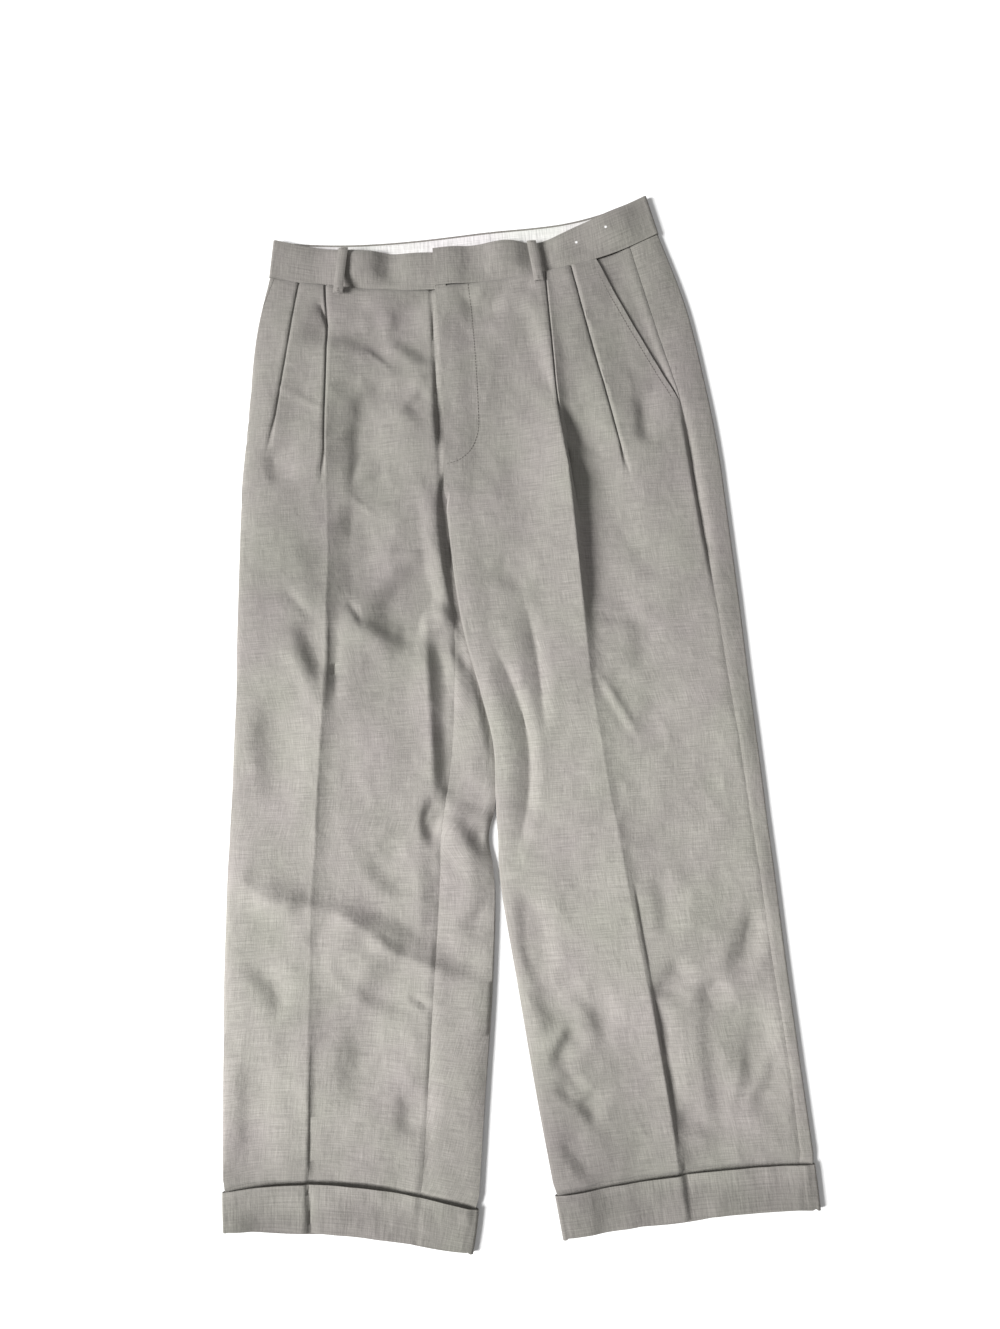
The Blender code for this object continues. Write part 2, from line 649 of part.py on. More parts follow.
def build_turn_up(leg, material):
    """The turn-up: a closed band round the end of the leg."""
    grid = []
    middle = (TOP_OF_TURN_UP + HEM) / 2
    before, after = TURN_UP_CREASE
    for station in (TOP_OF_TURN_UP, middle, HEM):
        width = leg.width(station)
        line = []
        crease = leg.crease(station)
        last = width - TURN_UP_MARGIN
        outer = crease + row_at(leg.rows, station).second - TURN_UP_MARGIN
        spots = [TURN_UP_MARGIN, crease * 0.35, crease * 0.7, crease - before]
        spots += [crease, crease + after, outer, last]
        for angle in (150, 90, 30):
            line.append(turn_up_fold(leg, station, "inner", angle))
        for spot in spots:
            x, y = leg.on_line(station, spot)
            height = leg.top_height(HEM if station > middle else TOP_OF_TURN_UP, spot)
            line.append((x, y, height + (CLOTH + TURN_UP) / 2 + TURN_UP_EASE))
        for angle in (30, 90, 150):
            line.append(turn_up_fold(leg, station, "outer", angle))
        for k in range(6):
            spot = TURN_UP_RADIUS + (width - 2 * TURN_UP_RADIUS) * k / 5
            x, y = on_full_line(leg, station, width - spot)
            line.append((x, y, TURN_UP / 2))
        grid.append(line)
    shell("turn_up_" + leg.name, np.array(grid), TURN_UP, material, ring=True)


def on_full_line(leg, station, position):
    """X and Y on the cut without the inset of a leg inside its turn-up."""
    row = row_at(leg.rows, station)
    fraction = position / leg.width(station)
    x = row.inner_x + (row.outer_x - row.inner_x) * fraction
    y = row.inner_y + (row.outer_y - row.inner_y) * fraction
    skewed = fraction ** BOW_SKEW
    return x, y + row.bow * 4 * skewed * (1 - skewed)


def turn_up_fold(leg, station, edge, degrees):
    angle = radians(degrees)
    near = TURN_UP_RADIUS * (1 - sin(angle))
    x, y = on_full_line(leg, station, near if edge == "inner" else leg.width(station) - near)
    return x, y, TURN_UP / 2 + TURN_UP_RADIUS * (1 + cos(angle))


def build_leg(leg, cloth, inside):
    front = leg_grid(leg, front_columns)
    back = leg_grid(leg, back_columns)
    shell("front_" + leg.name, front, CLOTH, cloth)
    shell("back_" + leg.name, back, CLOTH, cloth)
    facing = leg_grid(leg, facing_columns, FACING_STATIONS)
    shell("pocket_facing_" + leg.name, facing, CLOTH, inside)


def main():
    for old in list(bpy.data.objects):
        bpy.data.objects.remove(old, do_unlink=True)
    cloth = cloth_material("greige_wool", GREIGE, 0.85)
    inside = cloth_material("greige_wool_facing", GREIGE_INSIDE, 0.85)
    white = cloth_material("white_lining", WHITE, 0.75)
    right = Leg("right", -1, RIGHT_ROWS)
    left = Leg("left", 1, LEFT_ROWS)
    for leg, loop_x in ((right, RIGHT_LOOP_X), (left, LEFT_LOOP_X)):
        build_leg(leg, cloth, inside)
        build_turn_up(leg, cloth)
        build_waistband(leg, cloth)
        build_lining(leg, white)
        build_loop(leg, loop_x, cloth)


main()
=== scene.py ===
"""Pleated dress trousers with turn-ups, laid flat on their back: cloth, seams, stitches and stage.

Lengths in the tables are millimetres in the frame's own axes: +X to the wearer's left, +Y from the
hems to the waist, +Z up off the floor.  Every leg is a flattened tube.  A Row is one cut across it,
and a distance e runs round the cut from the inner edge: over the upper layer, round the outer fold
and back along the lower layer, and for negative values round the inner fold.
"""
from collections import namedtuple

import bpy
import numpy as np
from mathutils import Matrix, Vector


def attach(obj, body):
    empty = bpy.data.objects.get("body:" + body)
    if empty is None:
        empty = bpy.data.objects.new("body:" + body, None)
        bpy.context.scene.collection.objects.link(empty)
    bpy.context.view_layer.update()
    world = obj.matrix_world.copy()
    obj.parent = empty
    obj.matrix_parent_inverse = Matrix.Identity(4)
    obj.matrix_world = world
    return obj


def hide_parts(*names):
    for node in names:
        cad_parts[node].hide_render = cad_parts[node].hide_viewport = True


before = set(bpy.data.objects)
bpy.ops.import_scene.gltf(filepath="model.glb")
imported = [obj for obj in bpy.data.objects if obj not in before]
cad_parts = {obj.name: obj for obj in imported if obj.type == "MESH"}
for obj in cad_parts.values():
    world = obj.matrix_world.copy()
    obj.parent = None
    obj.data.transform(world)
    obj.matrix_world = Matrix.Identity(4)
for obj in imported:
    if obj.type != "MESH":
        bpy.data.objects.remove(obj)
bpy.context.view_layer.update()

bl_info = {
    "name": "Pleated trousers",
    "version": (1, 0, 0),
    "blender": (4, 5, 0),
    "location": "View3D > Sidebar > Trousers",
    "description": "Builds pleated trousers with turn-ups, laid flat, around their packed frame",
    "category": "Object",
}

MM = 0.001
GAP = 0.3                  # between pieces that meet
SHARP_ANGLE = 55.0         # degrees between faces that are shaded as an edge
TINY = 1e-9                # keeps a length off zero

# The flattened tube.
EDGE_RADIUS = 2.2
RADIUS_RUN = 40.0          # width over which the inner edge's radius gives way to the outer's
TUCKED_RADIUS = 1.1        # inside a turn-up
PRESSED_RADIUS = 0.8       # of the right inner edge, under the left leg
ROLLED_RADIUS = 1.3        # of the left inner edge, whose upper layer rolls down to it
ROLL_REACH = 30.0          # of that roll near the fork; past ROLL_STATION it is PUFF_REACH
ROLL_STATION = 4.6
ROLL_FADE = 1.4
FORK_STATION = 3.6         # where the open inner edges close into a tube
FORK_RUN = 0.4
BAND_RADIUS = 2.6
TURN_UP_RADIUS = 2.6
TUCKED_PUFF = 1.2
PUFF_REACH = 12.0
TUCK_RUN = 0.15            # stations over which a leg narrows into its turn-up
TURN_UP_TUCK = 1.5         # lift of a leg inside its turn-up
TURN_UP_INSET = 1.8
TURN_UP_EASE = 0.7
TURN_UP_FLARE = 1.4        # of its top edge away from the leg
TURN_UP_SAG = 0.4          # most that its upper layer falls below its folds
TURN_UP_EDGE = 8.0         # width over which a fold gives way to the upper layer
FLARE_RUN = 0.35
FLARE_WAVE = 0.06
HANG = 2.2                 # of a turn-up's lower layer past the upper one, and how it varies
HANG_SWING = 1.6
HANG_WAVE = 0.045
HANG_STATION = 13.2
SEAM_DIP = 0.8
SEAM_WIDTH = 2.2
SEAM_SHOWS = 3.0           # inset from which the right inseam's dip is full
WAIST_SINK = 1.7           # of the fronts at the waist seam
WAIST_SINK_RUN = 0.09
HEM_SINK = 3.4             # of a leg's upper layer where it goes into its turn-up
SINK_STATIONS = (12.92, 12.985)
SINK_ROWS = 12
CREASE_STEEP = 14.0        # widths of the pressed ridge on its +X and -X sides
CREASE_GENTLE = 60.0
CREASE_POWER = 1.6
DENT_RUN = 12.0            # from an edge to the full dents of the lower layer
CONTACT = 0.5              # softness with which the upper layer comes down on the lower one

# Fly, waist and loops.
FLY_LAP = 12.0
FLY_RISE = 2.2
FLY_EDGE = 2.0             # level past the lap, before it falls
FLY_FALL = 22.0
FLY_STATION = 3.2          # where the rise ends, over FLY_FADE stations
FLY_FADE = 0.8
BAND_WALL = 2.2
BAND_LAP_RISE = 2.6        # of the left half's front end over the right's
BAND_LAP_EDGE = 3.0
BAND_LAP_FALL = 26.0
BAND_CROWN = 2.0
BAND_ROUNDING = 0.9        # share of the crown that is gone at its edges
BAND_FLATTEN = 34.0        # width over which its waves and crown fade toward the side fold
LEFT_BAND_GAIN = 3.0       # in height at the side fold
RIGHT_BAND_SLANT = 6.0     # of the rows toward +X there
LEFT_BAND_SLANT = -10.0
BAND_SLANT_REACH = 120.0
BAND_DIP = 6.0             # of the left half's top edge, at BAND_DIP_X
BAND_DIP_X = 88.0
BAND_DIP_WIDTH = 45.0
LINING_WALL = 0.9
LINING_INSET = 3.0
LINING_DEPTH = 40.0
LINING_START = 12.0
LOOP_WIDTH = 10.0
LOOP_BELOW_SEAM = 11.0
LOOP_ABOVE = 2.5
LOOP_ARCH = 2.0
LOOP_CROWN = 1.1
LOOP_BAND_SHARES = np.array((0.1, 0.5, 0.9))   # of the band's height, where it is measured
LOOP_SEAM = 4.3            # from the first of these down to the seam
LOOP_BESIDE = 8            # columns of the band on either side that the loop clears
LOOP_PIVOT = 0.3           # share of its length round which it leans
LOOP_STEP = 0.55           # share at which it leaves the band for the front
LOOP_STEP_RUN = 0.25
LOOP_TACKS = (1, 23, 24)   # rows of the strap with stitches

# Left leg over right leg.
LEG_LIFT = 3.1
LIFT_STATIONS = (3.0, 9.2)  # it comes in over one station past the first, and out likewise
LIFT_REACH = 8.0
LIFT_FALL = 30.0

# Pleats: a Z of three layers, which opens out below.
PLEAT_EDGE = 1.2
PLEAT_RISES = (0.0, 2.0, 2.0, 1.5, 1.15, 0.85, 0.5, 0.0, 0.0)   # of a layer, inner to outer
PLEAT_CLEAR = 1.4          # bottom of the groove outside a pleat
PLEAT_DEPTHS = (20.0, 16.0)
PLEAT_RAMP = 22.0          # over which the cloth climbs onto a pleat
LEAST_RAMP = 4.0
RAMP_SHARE = 0.8           # of the room between two pleats, for the second one's ramp
PLEAT_SPENT = 0.01         # keeps a pleat's depth off zero
FILL = 0.85                # height beside a pleat, of the pleat's own
FILL_RUN = 1.8
FILL_FALL = 32.0

# Slanted pockets.
POCKET_TOP = 39.0          # from the side seam to the mouth at the waist
POCKET_STATIONS = 2.1      # where the mouth meets the seam
POCKET_CURVE = 1.35
FACING_TUCK = 4.0          # of the left facing, in under the front
FACING_DROP = 2.6          # of its inner half

# Stations and columns.
BOW_SKEW = 1.2             # moves the middle of a row's bow toward its outer end
TOP_OF_TURN_UP = 13.0
HEM = 14.0
LAST_STATION = 13.98
FINE_STATIONS = 400        # from which the rows of a panel are placed
BACK_ROWS = 0.8            # rows of a back panel, of a front's
FACING_ROWS = 46
FACING_SHORT = 0.03        # stations from a facing's end to the pocket's
FRONT_MARGIN = 14.0        # of the left front's inner edge, made apart from the rest
BACK_MARGIN = 20.0
LEFT_TUCK = 5.0            # of the left inner edge in under the leg
FINE_BACK = 30.0           # of the left lower layer, with closer columns
LEAST_SEAM = 3.0           # inset of the right inseam from the inner edge

# Steps of the grids.
# Between the corners of front_keys, inner to outer.
FRONT_STEPS = (3, 3, 1, 1, 2, 1, 1, 2, 2, 8, 3, 3, 1, 1, 2, 1, 1, 2, 2, 10, 22)
RIGHT_INNER_STEPS = 48     # from a front's inner margin to its first pleat
LEFT_INNER_STEPS = 40
LEFT_EDGE_STEPS = 14
LEFT_BACK_STEPS = (8, 10, 10, 56)
RIGHT_BACK_STEPS = 62
RIGHT_EDGE_STEPS = 20
FACING_STEPS = 24
TURN_UP_ROWS = 20
TURN_UP_STEPS = (104, 60)  # of its upper and lower layer
TURN_UP_FOLD_POINTS = 12
BAND_ROWS = 18
BAND_STEPS = (110, 60)     # of its upper and lower layer
BAND_FOLD_POINTS = 14
LINING_ROWS = 14
LINING_STEPS = 70
LOOP_STEPS = (25, 6)       # down and across

# Colour, painted light and shade, and weave, with sizes in metres: see wool_material.
# Painted light and shade: tone of the wool by share of the way down from the waist, darker at the
# waistband, hips and turn-ups, lighter at the knees and shins.
PAINTED_LIGHT_TONES = ((0.0, 0.74), (0.09, 0.80), (0.18, 0.82), (0.36, 0.89), (0.60, 1.05), (0.86, 1.06),
              (0.94, 0.94), (0.955, 0.80), (1.0, 0.78))
# Height where that painted gradient starts; it ends as far below.
PAINTED_LIGHT_TOP = 0.55
TINTS = ((0.32, (1.01, 0.965, 0.975)), (0.68, (1.0, 1.01, 0.95)))
TINT_SCALE = 11.0
YARNS = (((1500.0, 45.0, 1.0), (0.0, 0.0, 0.0)), ((38.0, 1300.0, 1.0), (3.0, 7.0, 0.0)))
YARN_RANGE = (0.6, 1.4)    # of the two yarns' sum, and the tones at its ends
YARN_TONES = (0.72, 1.28)
ROUGH = 0.6                # of the noise in yarns and crumpling
TINT_ROUGH = 0.55
WEAVE_SCALE = 1900.0
CRUMPLE_SCALE = 75.0
YARN_BUMP = 0.12
WEAVE_BUMP = 0.03
ShadePatch = namedtuple("ShadePatch", "x y reach tone")
# Broad patches of painted shade: left hem and shin, right turn-up, right waistband end, right thigh,
# outer left hem.
PAINTED_SHADE_PATCHES = (
    ShadePatch(0.06, -0.45, 0.17, 0.74),
    ShadePatch(-0.27, -0.50, 0.12, 0.76),
    ShadePatch(-0.20, 0.46, 0.10, 0.86),
    ShadePatch(-0.15, 0.12, 0.16, 0.88),
    ShadePatch(0.22, -0.54, 0.10, 0.86),
)
LINT = ((0.125, 0.488), (0.158, 0.502))    # on the waistband
LINT_RADIUS = 0.0013
LINT_EDGE = (0.6, 1.4)     # of its radius, between which it fades out
LINT_COLOUR = (0.85, 0.85, 0.85, 1.0)
LINT_COVER = 0.85
# Each cloth: the group's colour it takes, its roughness (None for the group's) and its relief.
Finish = namedtuple("Finish", "colour roughness relief")
FINISHES = {
    "greige_wool": Finish("cloth", None, 0.0011),
    # The facings take a darker copy of the wool: painted shade in the pocket mouths.
    "greige_wool_facing": Finish("facing", None, 0.0011),
    "white_cotton": Finish("lining", 0.8, 0.0006),
    "sewing_thread": Finish("thread", 0.7, 0.0002),
}
SHEEN = {"Sheen Weight": 0.12, "Sheen Roughness": 0.45, "Specular IOR Level": 0.22}
FLOOR_FINISH = {"Roughness": 0.95, "Specular IOR Level": 0.1}
FLOOR_UNEVEN = 0.995       # darkest tone of the floor, of its colour

# Stage, in metres.
FLOOR_REACH = 6.0
FLOOR_LEVEL = -0.0004
WORLD_LIGHT = 0.27
Light = namedtuple("Light", "name place target size watts")
LIGHTS = (
    Light("key", (-6.7, -1.5, 4.8), (0.0, -0.1, 0.0), 2.9, 1510.0),
    Light("fill", (1.2, 1.4, 2.2), (0.1, 0.0, 0.0), 2.0, 7.0),
)
CAMERA_TARGET = (0.012, 0.027, 0.0)
CAMERA_DISTANCE = 1.04
CAMERA_AZIMUTH = -3.6      # degrees from straight behind the hems
CAMERA_ELEVATION = 82.0
CAMERA_LENS = 27.03        # millimetres on a film of FILM_WIDTH
FILM_WIDTH = 36.0

# Stitches.
FLY_STITCH = 37.0          # from the fly's edge, then round to FLY_STITCH_END of it
FLY_STITCH_END = 3.0
FLY_STITCH_STATIONS = (0.03, 2.15, 2.85)   # its start, the start of its curve, and its foot
FLY_STITCH_POINTS = (120, 49)
POCKET_STITCH = 6.0        # from the mouth
POCKET_STITCH_STATIONS = (0.05, 1.98)
POCKET_STITCH_POINTS = 90
SUNK_THREAD = 0.4
STITCH_PITCH = 4 / 3       # of a stitch's length
RINGS = 6
RING_POINTS = 5
BLUNT = 0.05               # keeps a stitch's ends open enough for a face

Row = namedtuple(
    "Row",
    "inner_x inner_y outer_x outer_y bow back_x back_y back_bow "
    "crease_x second inseam_in side_in crease_rise",
)

# bow lifts the middle of the cut toward the waist; back_x and back_y end the lower layer; second is
# how far outside the crease the outer pleat runs; inseam_in and side_in are how far those seams lie
# in from their edge, negative on the underside; crease_rise is the height of the pressed ridge.
RIGHT_ROWS = (
    Row(-21, 443, -213, 470, -8, 31, 467, -8, -151, 29, 0, -34, 0.5),       # 0 waist seam
    Row(-22, 390, -230, 400, -4, 27, 404, -6, -152, 41, 0, -29, 1.0),        # 1 pocket
    Row(-24, 300, -242, 300, 0, 8, 305, 0, -158, 54, 0, -24, 2.5),           # 2 hip
    Row(-27, 236, -250, 234, 0, -14, 238, 0, -160, 60, 0, -20, 2.0),         # 3 fly foot
    Row(-29, 190, -253, 186, 0, -29, 190, 0, -160, 60, 4, -20, 2.5),         # 4 fork
    Row(-18, 80, -259, 80, 0, -18, 80, 0, -166, 60, 15, -20, 4.5),           # 5 thigh
    Row(-2, 0, -263, 0, 0, -2, 0, 0, -172, 60, 35, -20, 4.0),                # 6 lower thigh
    Row(3, -60, -267, -60, 0, 3, -60, 0, -178, 60, 46, -20, 4.2),            # 7 above the knee
    Row(-2, -115, -271, -110, 0, -2, -115, 0, -183, 60, 51, -20, 4.0),       # 8 knee
    Row(-11, -150, -274, -148, 0, -11, -150, 0, -186, 60, 48, -20, 3.4),     # 9 notch
    Row(-7, -200, -277, -195, 2, -7, -200, 2, -191, 60, 56, -20, 2.2),       # 10 below the knee
    Row(-16, -300, -282, -285, 6, -16, -300, 6, -196, 60, 58, -20, 2.4),     # 11 calf
    Row(-29, -400, -285, -375, 11, -29, -400, 11, -202, 60, 56, -20, 2.4),   # 12 shin
    Row(-42, -502, -288, -471, 15, -42, -502, 15, -207, 60, 55, -20, 2.2),   # 13 turn-up
    Row(-50, -540, -288, -507, 7, -50, -540, 7, -212, 60, 54, -20, 2.5),     # 14 hem
)
LEFT_ROWS = (
    Row(-33, 447, 216, 494, -14, 31, 467, -8, 87, 29, 0, 33, 1.0),          # 0 waist seam
    Row(-31, 390, 240, 404, -8, 27, 404, -6, 88, 40, 0, 39, 2.5),            # 1 pocket
    Row(-31, 300, 254, 303, 0, 8, 305, 0, 90, 55, 0, 31, 7.0),               # 2 hip
    Row(-35, 236, 260, 237, 0, -14, 238, 0, 96, 60, 0, 30, 8.0),             # 3 fly foot
    Row(-34, 190, 262, 190, 0, -29, 190, 0, 99, 60, -5, 30, 8.0),            # 4 fork
    Row(-26, 80, 266, 80, 0, -26, 80, 0, 102, 60, -5, 25, 6.0),              # 5 thigh
    Row(-10, 0, 268, 4, 0, -10, 0, 0, 105, 60, -5, 22, 3.0),                 # 6 lower thigh
    Row(0, -56, 270, -52, 0, 0, -56, 0, 110, 60, -5, 20, 2.5),               # 7 above the knee
    Row(-1, -112, 272, -112, 0, -1, -112, 0, 115, 60, -5, 18, 2.5),          # 8 knee
    Row(-1, -150, 273, -150, 0, -1, -150, 0, 120, 60, -5, 17, 2.5),          # 9 notch
    Row(-1, -200, 275, -200, 0, -1, -200, 0, 125, 60, -5, 16, 3.0),          # 10 below the knee
    Row(10, -300, 278, -296, 2, 10, -300, 2, 136, 60, -5, 14, 3.0),          # 11 calf
    Row(21, -400, 282, -393, 4, 21, -400, 4, 147, 60, -5, 12, 4.0),          # 12 shin
    Row(33, -494, 286, -481, 6, 33, -494, 6, 153, 60, -5, 14, 4.0),          # 13 turn-up
    Row(38, -533, 287, -521, 4, 38, -533, 4, 157, 60, -5, 14, 3.0),          # 14 hem
)

# The cloth of the right leg stays low beside the left leg's edge: width of that strip by station.
LOW_STATIONS = (2.8, 3.2, 4.0, 4.6, 5.2, 6.0, 7.0, 8.0, 8.7)
LOW_WIDTHS = (0.0, 9.0, 10.0, 13.0, 12.0, 10.0, 6.0, 3.0, 0.0)
LOW_CLIMB = 5.0            # width over which the cloth climbs outside the strip
LOW_LEAST = 0.5            # narrower than this, there is no strip
LOW_START = 2.8
LOW_RUN = 0.4
PRESS_WIDTH = 5.0          # width of strip from which the edge is fully pressed

# A soft fold runs from one point to the other, bent to its left by bend at the middle.  A positive
# height is a ridge, a negative one a trough; it falls to nothing over the widths on its left and
# right, in a round shape, or with a sharp middle where keen is 1.
Fold = namedtuple(
    "Fold", "start_x start_y end_x end_y bend height left right keen", defaults=(0,))
RIGHT_FOLDS = (
    # hip
    Fold(-214, 346, -159, 313, 0, 1.1, 6, 7, 1),
    Fold(-99, 337, -40, 343, 0, 1.2, 6, 9, 1),
    Fold(-153, 275, -132, 290, 0, 1.0, 6, 5, 1),
    Fold(-134, 214, -108, 193, 0, 0.9, 5, 6, 1),
    Fold(-112, 152, -52, 146, 0, 1.0, 6, 8, 1),
    Fold(-112, 378, -84, 352, 0, 1.1, 6, 7, 1),
    Fold(-161, 437, -151, 403, 0, -1.5, 5, 5, 1),
    Fold(-125, 430, -38, 440, -8, -2.5, 9, 12),
    Fold(-125, 412, -75, 410, 0, 1.4, 12, 12),
    Fold(-185, 383, -85, 353, 20, -3.2, 11, 13),
    Fold(-90, 395, -36, 355, -2, -2.9, 11, 10),
    Fold(-115, 341, -55, 341, 0, -2.2, 7, 9),
    Fold(-150, 340, -120, 350, 0, -1.3, 6, 6),
    Fold(-75, 305, -52, 332, 0, -1.8, 6, 7),
    Fold(-118, 350, -133, 205, -5, -3.2, 15, 10),
    Fold(-141, 215, -143, 110, 0, -2.8, 12, 8),
    Fold(-225, 270, -215, 230, 0, -1.8, 8, 8),
    Fold(-40, 335, -38, 262, 0, -3.0, 6, 7),
    Fold(-38, 470, -40, 215, 0, -1.6, 4, 4, 1),
    # thigh
    Fold(-184, 175, -180, 108, 0, -2.2, 16, 16),
    Fold(-212, 123, -178, 80, 0, -1.4, 5, 7, 1),
    Fold(-200, 85, -175, 20, 0, -3.0, 9, 9),
    Fold(-205, 60, -178, 0, 0, 1.6, 8, 8),
    Fold(-160, 95, -167, -12, 0, -2.6, 10, 4, 1),
    Fold(-145, 105, -128, 75, 0, -1.4, 5, 5, 1),
    Fold(-150, 85, -95, 48, 0, 2.4, 9, 12),
    Fold(-125, 85, -50, 145, 3, -3.8, 16, 14),
    Fold(-95, 50, -60, 110, 3, -2.2, 8, 8),
    Fold(-70, 70, -35, 80, 8, 2.6, 10, 12),
    Fold(-66, 72, -56, -32, 4, -2.3, 12, 11),
    Fold(-63, 82, -62, -108, 0, 2.0, 15, 26, 1),
    Fold(-57, -15, -58, -110, 0, -2.8, 10, 9),
    Fold(-38, 50, -22, 22, 0, -2.0, 8, 8),
    Fold(-52, 225, -40, 60, 0, 2.2, 9, 9),
    Fold(-42, 60, -24, -20, 0, 1.8, 8, 8),
    Fold(-245, 5, -230, -105, 0, -2.2, 14, 14),
    # knee
    Fold(-69, -105, -72, -152, -4, -3.8, 9, 7),
    Fold(-55, -108, -10, -122, 0, -2.6, 6, 10),
    Fold(-60, -125, -20, -175, 0, 3.2, 10, 12),
    Fold(-32, -152, -9, -166, 0, -2.2, 6, 8),
    # shin
    Fold(-282, -158, -205, -211, -4, 1.5, 20, 26, 1),
    Fold(-232, -198, -138, -226, 4, 2.3, 26, 32, 1),
    Fold(-166, -217, -106, -258, 3, 2.9, 28, 32, 1),
    Fold(-134, -243, -52, -280, -2, 2.6, 24, 28, 1),
    Fold(-150, -215, -60, -262, 4, -1.6, 14, 9),
    Fold(-88, -267, -18, -288, 0, -2.2, 11, 9),
    Fold(-180, -235, -125, -285, 0, 3.0, 20, 20),
    Fold(-250, -190, -200, -205, 0, 2.2, 14, 14),
    Fold(-175, -265, -95, -320, -8, -1.6, 8, 8),
    Fold(-100, -300, -78, -312, 0, -1.6, 4, 5, 1),
    Fold(-135, -165, -90, -205, -8, -2.2, 12, 10),
    Fold(-74, -158, -76, -248, 0, -2.0, 11, 11),
    Fold(-20, -215, -45, -235, 0, -1.6, 6, 6),
    Fold(-265, -262, -230, -312, 8, -2.2, 7, 8),
    Fold(-268, -340, -270, -450, 0, -1.6, 9, 9),
    Fold(-160, -310, -162, -400, 0, -1.6, 14, 14),
    Fold(-113, -390, -113, -430, 0, -1.6, 9, 9),
    Fold(-195, -330, -204, -465, 0, -1.2, 5, 3, 1),
    Fold(-78, -315, -93, -500, 0, -0.7, 5, 4, 1),
    Fold(-206, -455, -204, -560, 0, -1.6, 4, 5, 1),
    Fold(-262, -480, -262, -540, 0, -0.7, 9, 9),
)
LEFT_FOLDS = (
    # hip
    Fold(52, 425, 84, 298, 0, -2.4, 7, 28, 1),
    Fold(-5, 437, 42, 437, -9, -1.8, 7, 8),
    Fold(55, 440, 65, 428, 0, -1.4, 6, 6),
    Fold(177, 312, 177, 253, 0, -2.2, 8, 8),
    Fold(94, 300, 105, 185, 0, -6.0, 15, 4, 1),
    Fold(92, 300, 112, 90, 0, 2.2, 6, 34),
    Fold(98, 285, 108, 62, 0, -4.0, 20, 5),
    Fold(118, 235, 190, 98, -18, -1.8, 14, 14),
    Fold(223, 300, 239, 100, 0, -3.0, 6, 5, 1),
    # thigh
    Fold(118, 66, 162, 62, 0, -1.6, 9, 9),
    Fold(152, 70, 152, 8, 0, -1.6, 10, 10),
    Fold(112, 12, 150, -60, 0, 1.6, 10, 8, 1),
    Fold(5, 120, 45, 100, 0, -1.6, 9, 9),
    Fold(36, 95, 48, -45, 5, -2.4, 8, 24, 1),
    Fold(0, 48, 10, -170, 26, -2.9, 8, 26, 1),
    # shin
    Fold(14, -200, 20, -300, 0, -3.2, 9, 9),
    Fold(22, -300, 42, -345, 0, -3.2, 12, 11),
    Fold(35, -375, 60, -333, 0, -2.8, 7, 6),
    Fold(38, -398, 58, -378, 0, -2.2, 9, 9),
    Fold(60, -410, 75, -430, 0, -2.2, 7, 7),
    Fold(35, -445, 68, -485, 0, -2.2, 8, 8),
    Fold(60, -308, 90, -355, 6, -1.8, 8, 8),
    Fold(150, -200, 150, -262, 5, -1.6, 8, 8),
    Fold(140, -310, 165, -275, -5, -2.0, 8, 8),
    Fold(185, -312, 212, -298, 0, -1.6, 7, 8),
    Fold(212, -298, 250, -225, 0, -1.8, 9, 8),
    Fold(232, -285, 247, -240, 0, -1.6, 6, 6),
    Fold(205, -318, 222, -402, 0, -2.2, 20, 16),
    Fold(190, -308, 198, -455, -6, -1.8, 9, 7),
    Fold(240, -320, 205, -440, 6, -1.7, 8, 8),
    Fold(258, -370, 225, -430, 3, -2.0, 8, 8),
    Fold(155, -438, 200, -450, 0, -1.6, 8, 8),
    Fold(131, -200, 141, -300, 0, -0.8, 7, 3, 1),
    Fold(141, -300, 154, -450, 0, -2.6, 12, 4, 1),
    Fold(158, -470, 163, -560, 0, -1.6, 4, 5, 1),
    Fold(70, -470, 74, -560, 0, -1.0, 9, 9),
    Fold(105, -480, 108, -560, 0, -0.7, 9, 9),
)
# Dents of the lower layer, up off the floor, seen on the back of the legs.
RIGHT_BACK_FOLDS = (
    Fold(-150, 380, -160, 60, 0, 1.0, 6, 10),
    Fold(-165, 60, -205, -440, 0, 1.3, 6, 10),
    Fold(-90, 260, -210, 190, 8, 1.6, 10, 12),
    Fold(-60, 130, -190, 90, -8, 1.4, 10, 10),
    Fold(-60, -120, -180, -160, 10, 1.8, 10, 12),
    Fold(-90, -230, -230, -200, 6, 1.4, 9, 9),
    Fold(-60, -330, -170, -380, 0, 1.2, 9, 9),
)
LEFT_BACK_FOLDS = (
    Fold(95, 380, 105, 40, 0, 1.0, 10, 6),
    Fold(106, 20, 150, -460, 0, 1.3, 10, 6),
    Fold(70, 250, 220, 210, 8, 1.6, 10, 12),
    Fold(60, 110, 200, 60, -8, 1.4, 10, 10),
    Fold(50, -90, 190, -150, 8, 1.8, 10, 12),
    Fold(70, -260, 220, -220, 6, 1.4, 9, 9),
    Fold(60, -400, 230, -360, 0, 1.2, 9, 9),
)
FOLD_TAPER = 0.42          # share of a fold's length over which each end fades
FOLD_OVERRUN = 0.1         # share by which it runs on past each end
FOLD_DEPTH = 2.1           # heights and widths of the soft folds, over the table's
NEAR_SPREAD = 1.9
FAR_SPREAD = 3.6           # a trough climbs out slowly on its side toward +X
SHIFT = 0.5                # of the near width, from the table's line to the bottom of a trough
KEEN_SHIFT = 0.2           # the same for a keen one

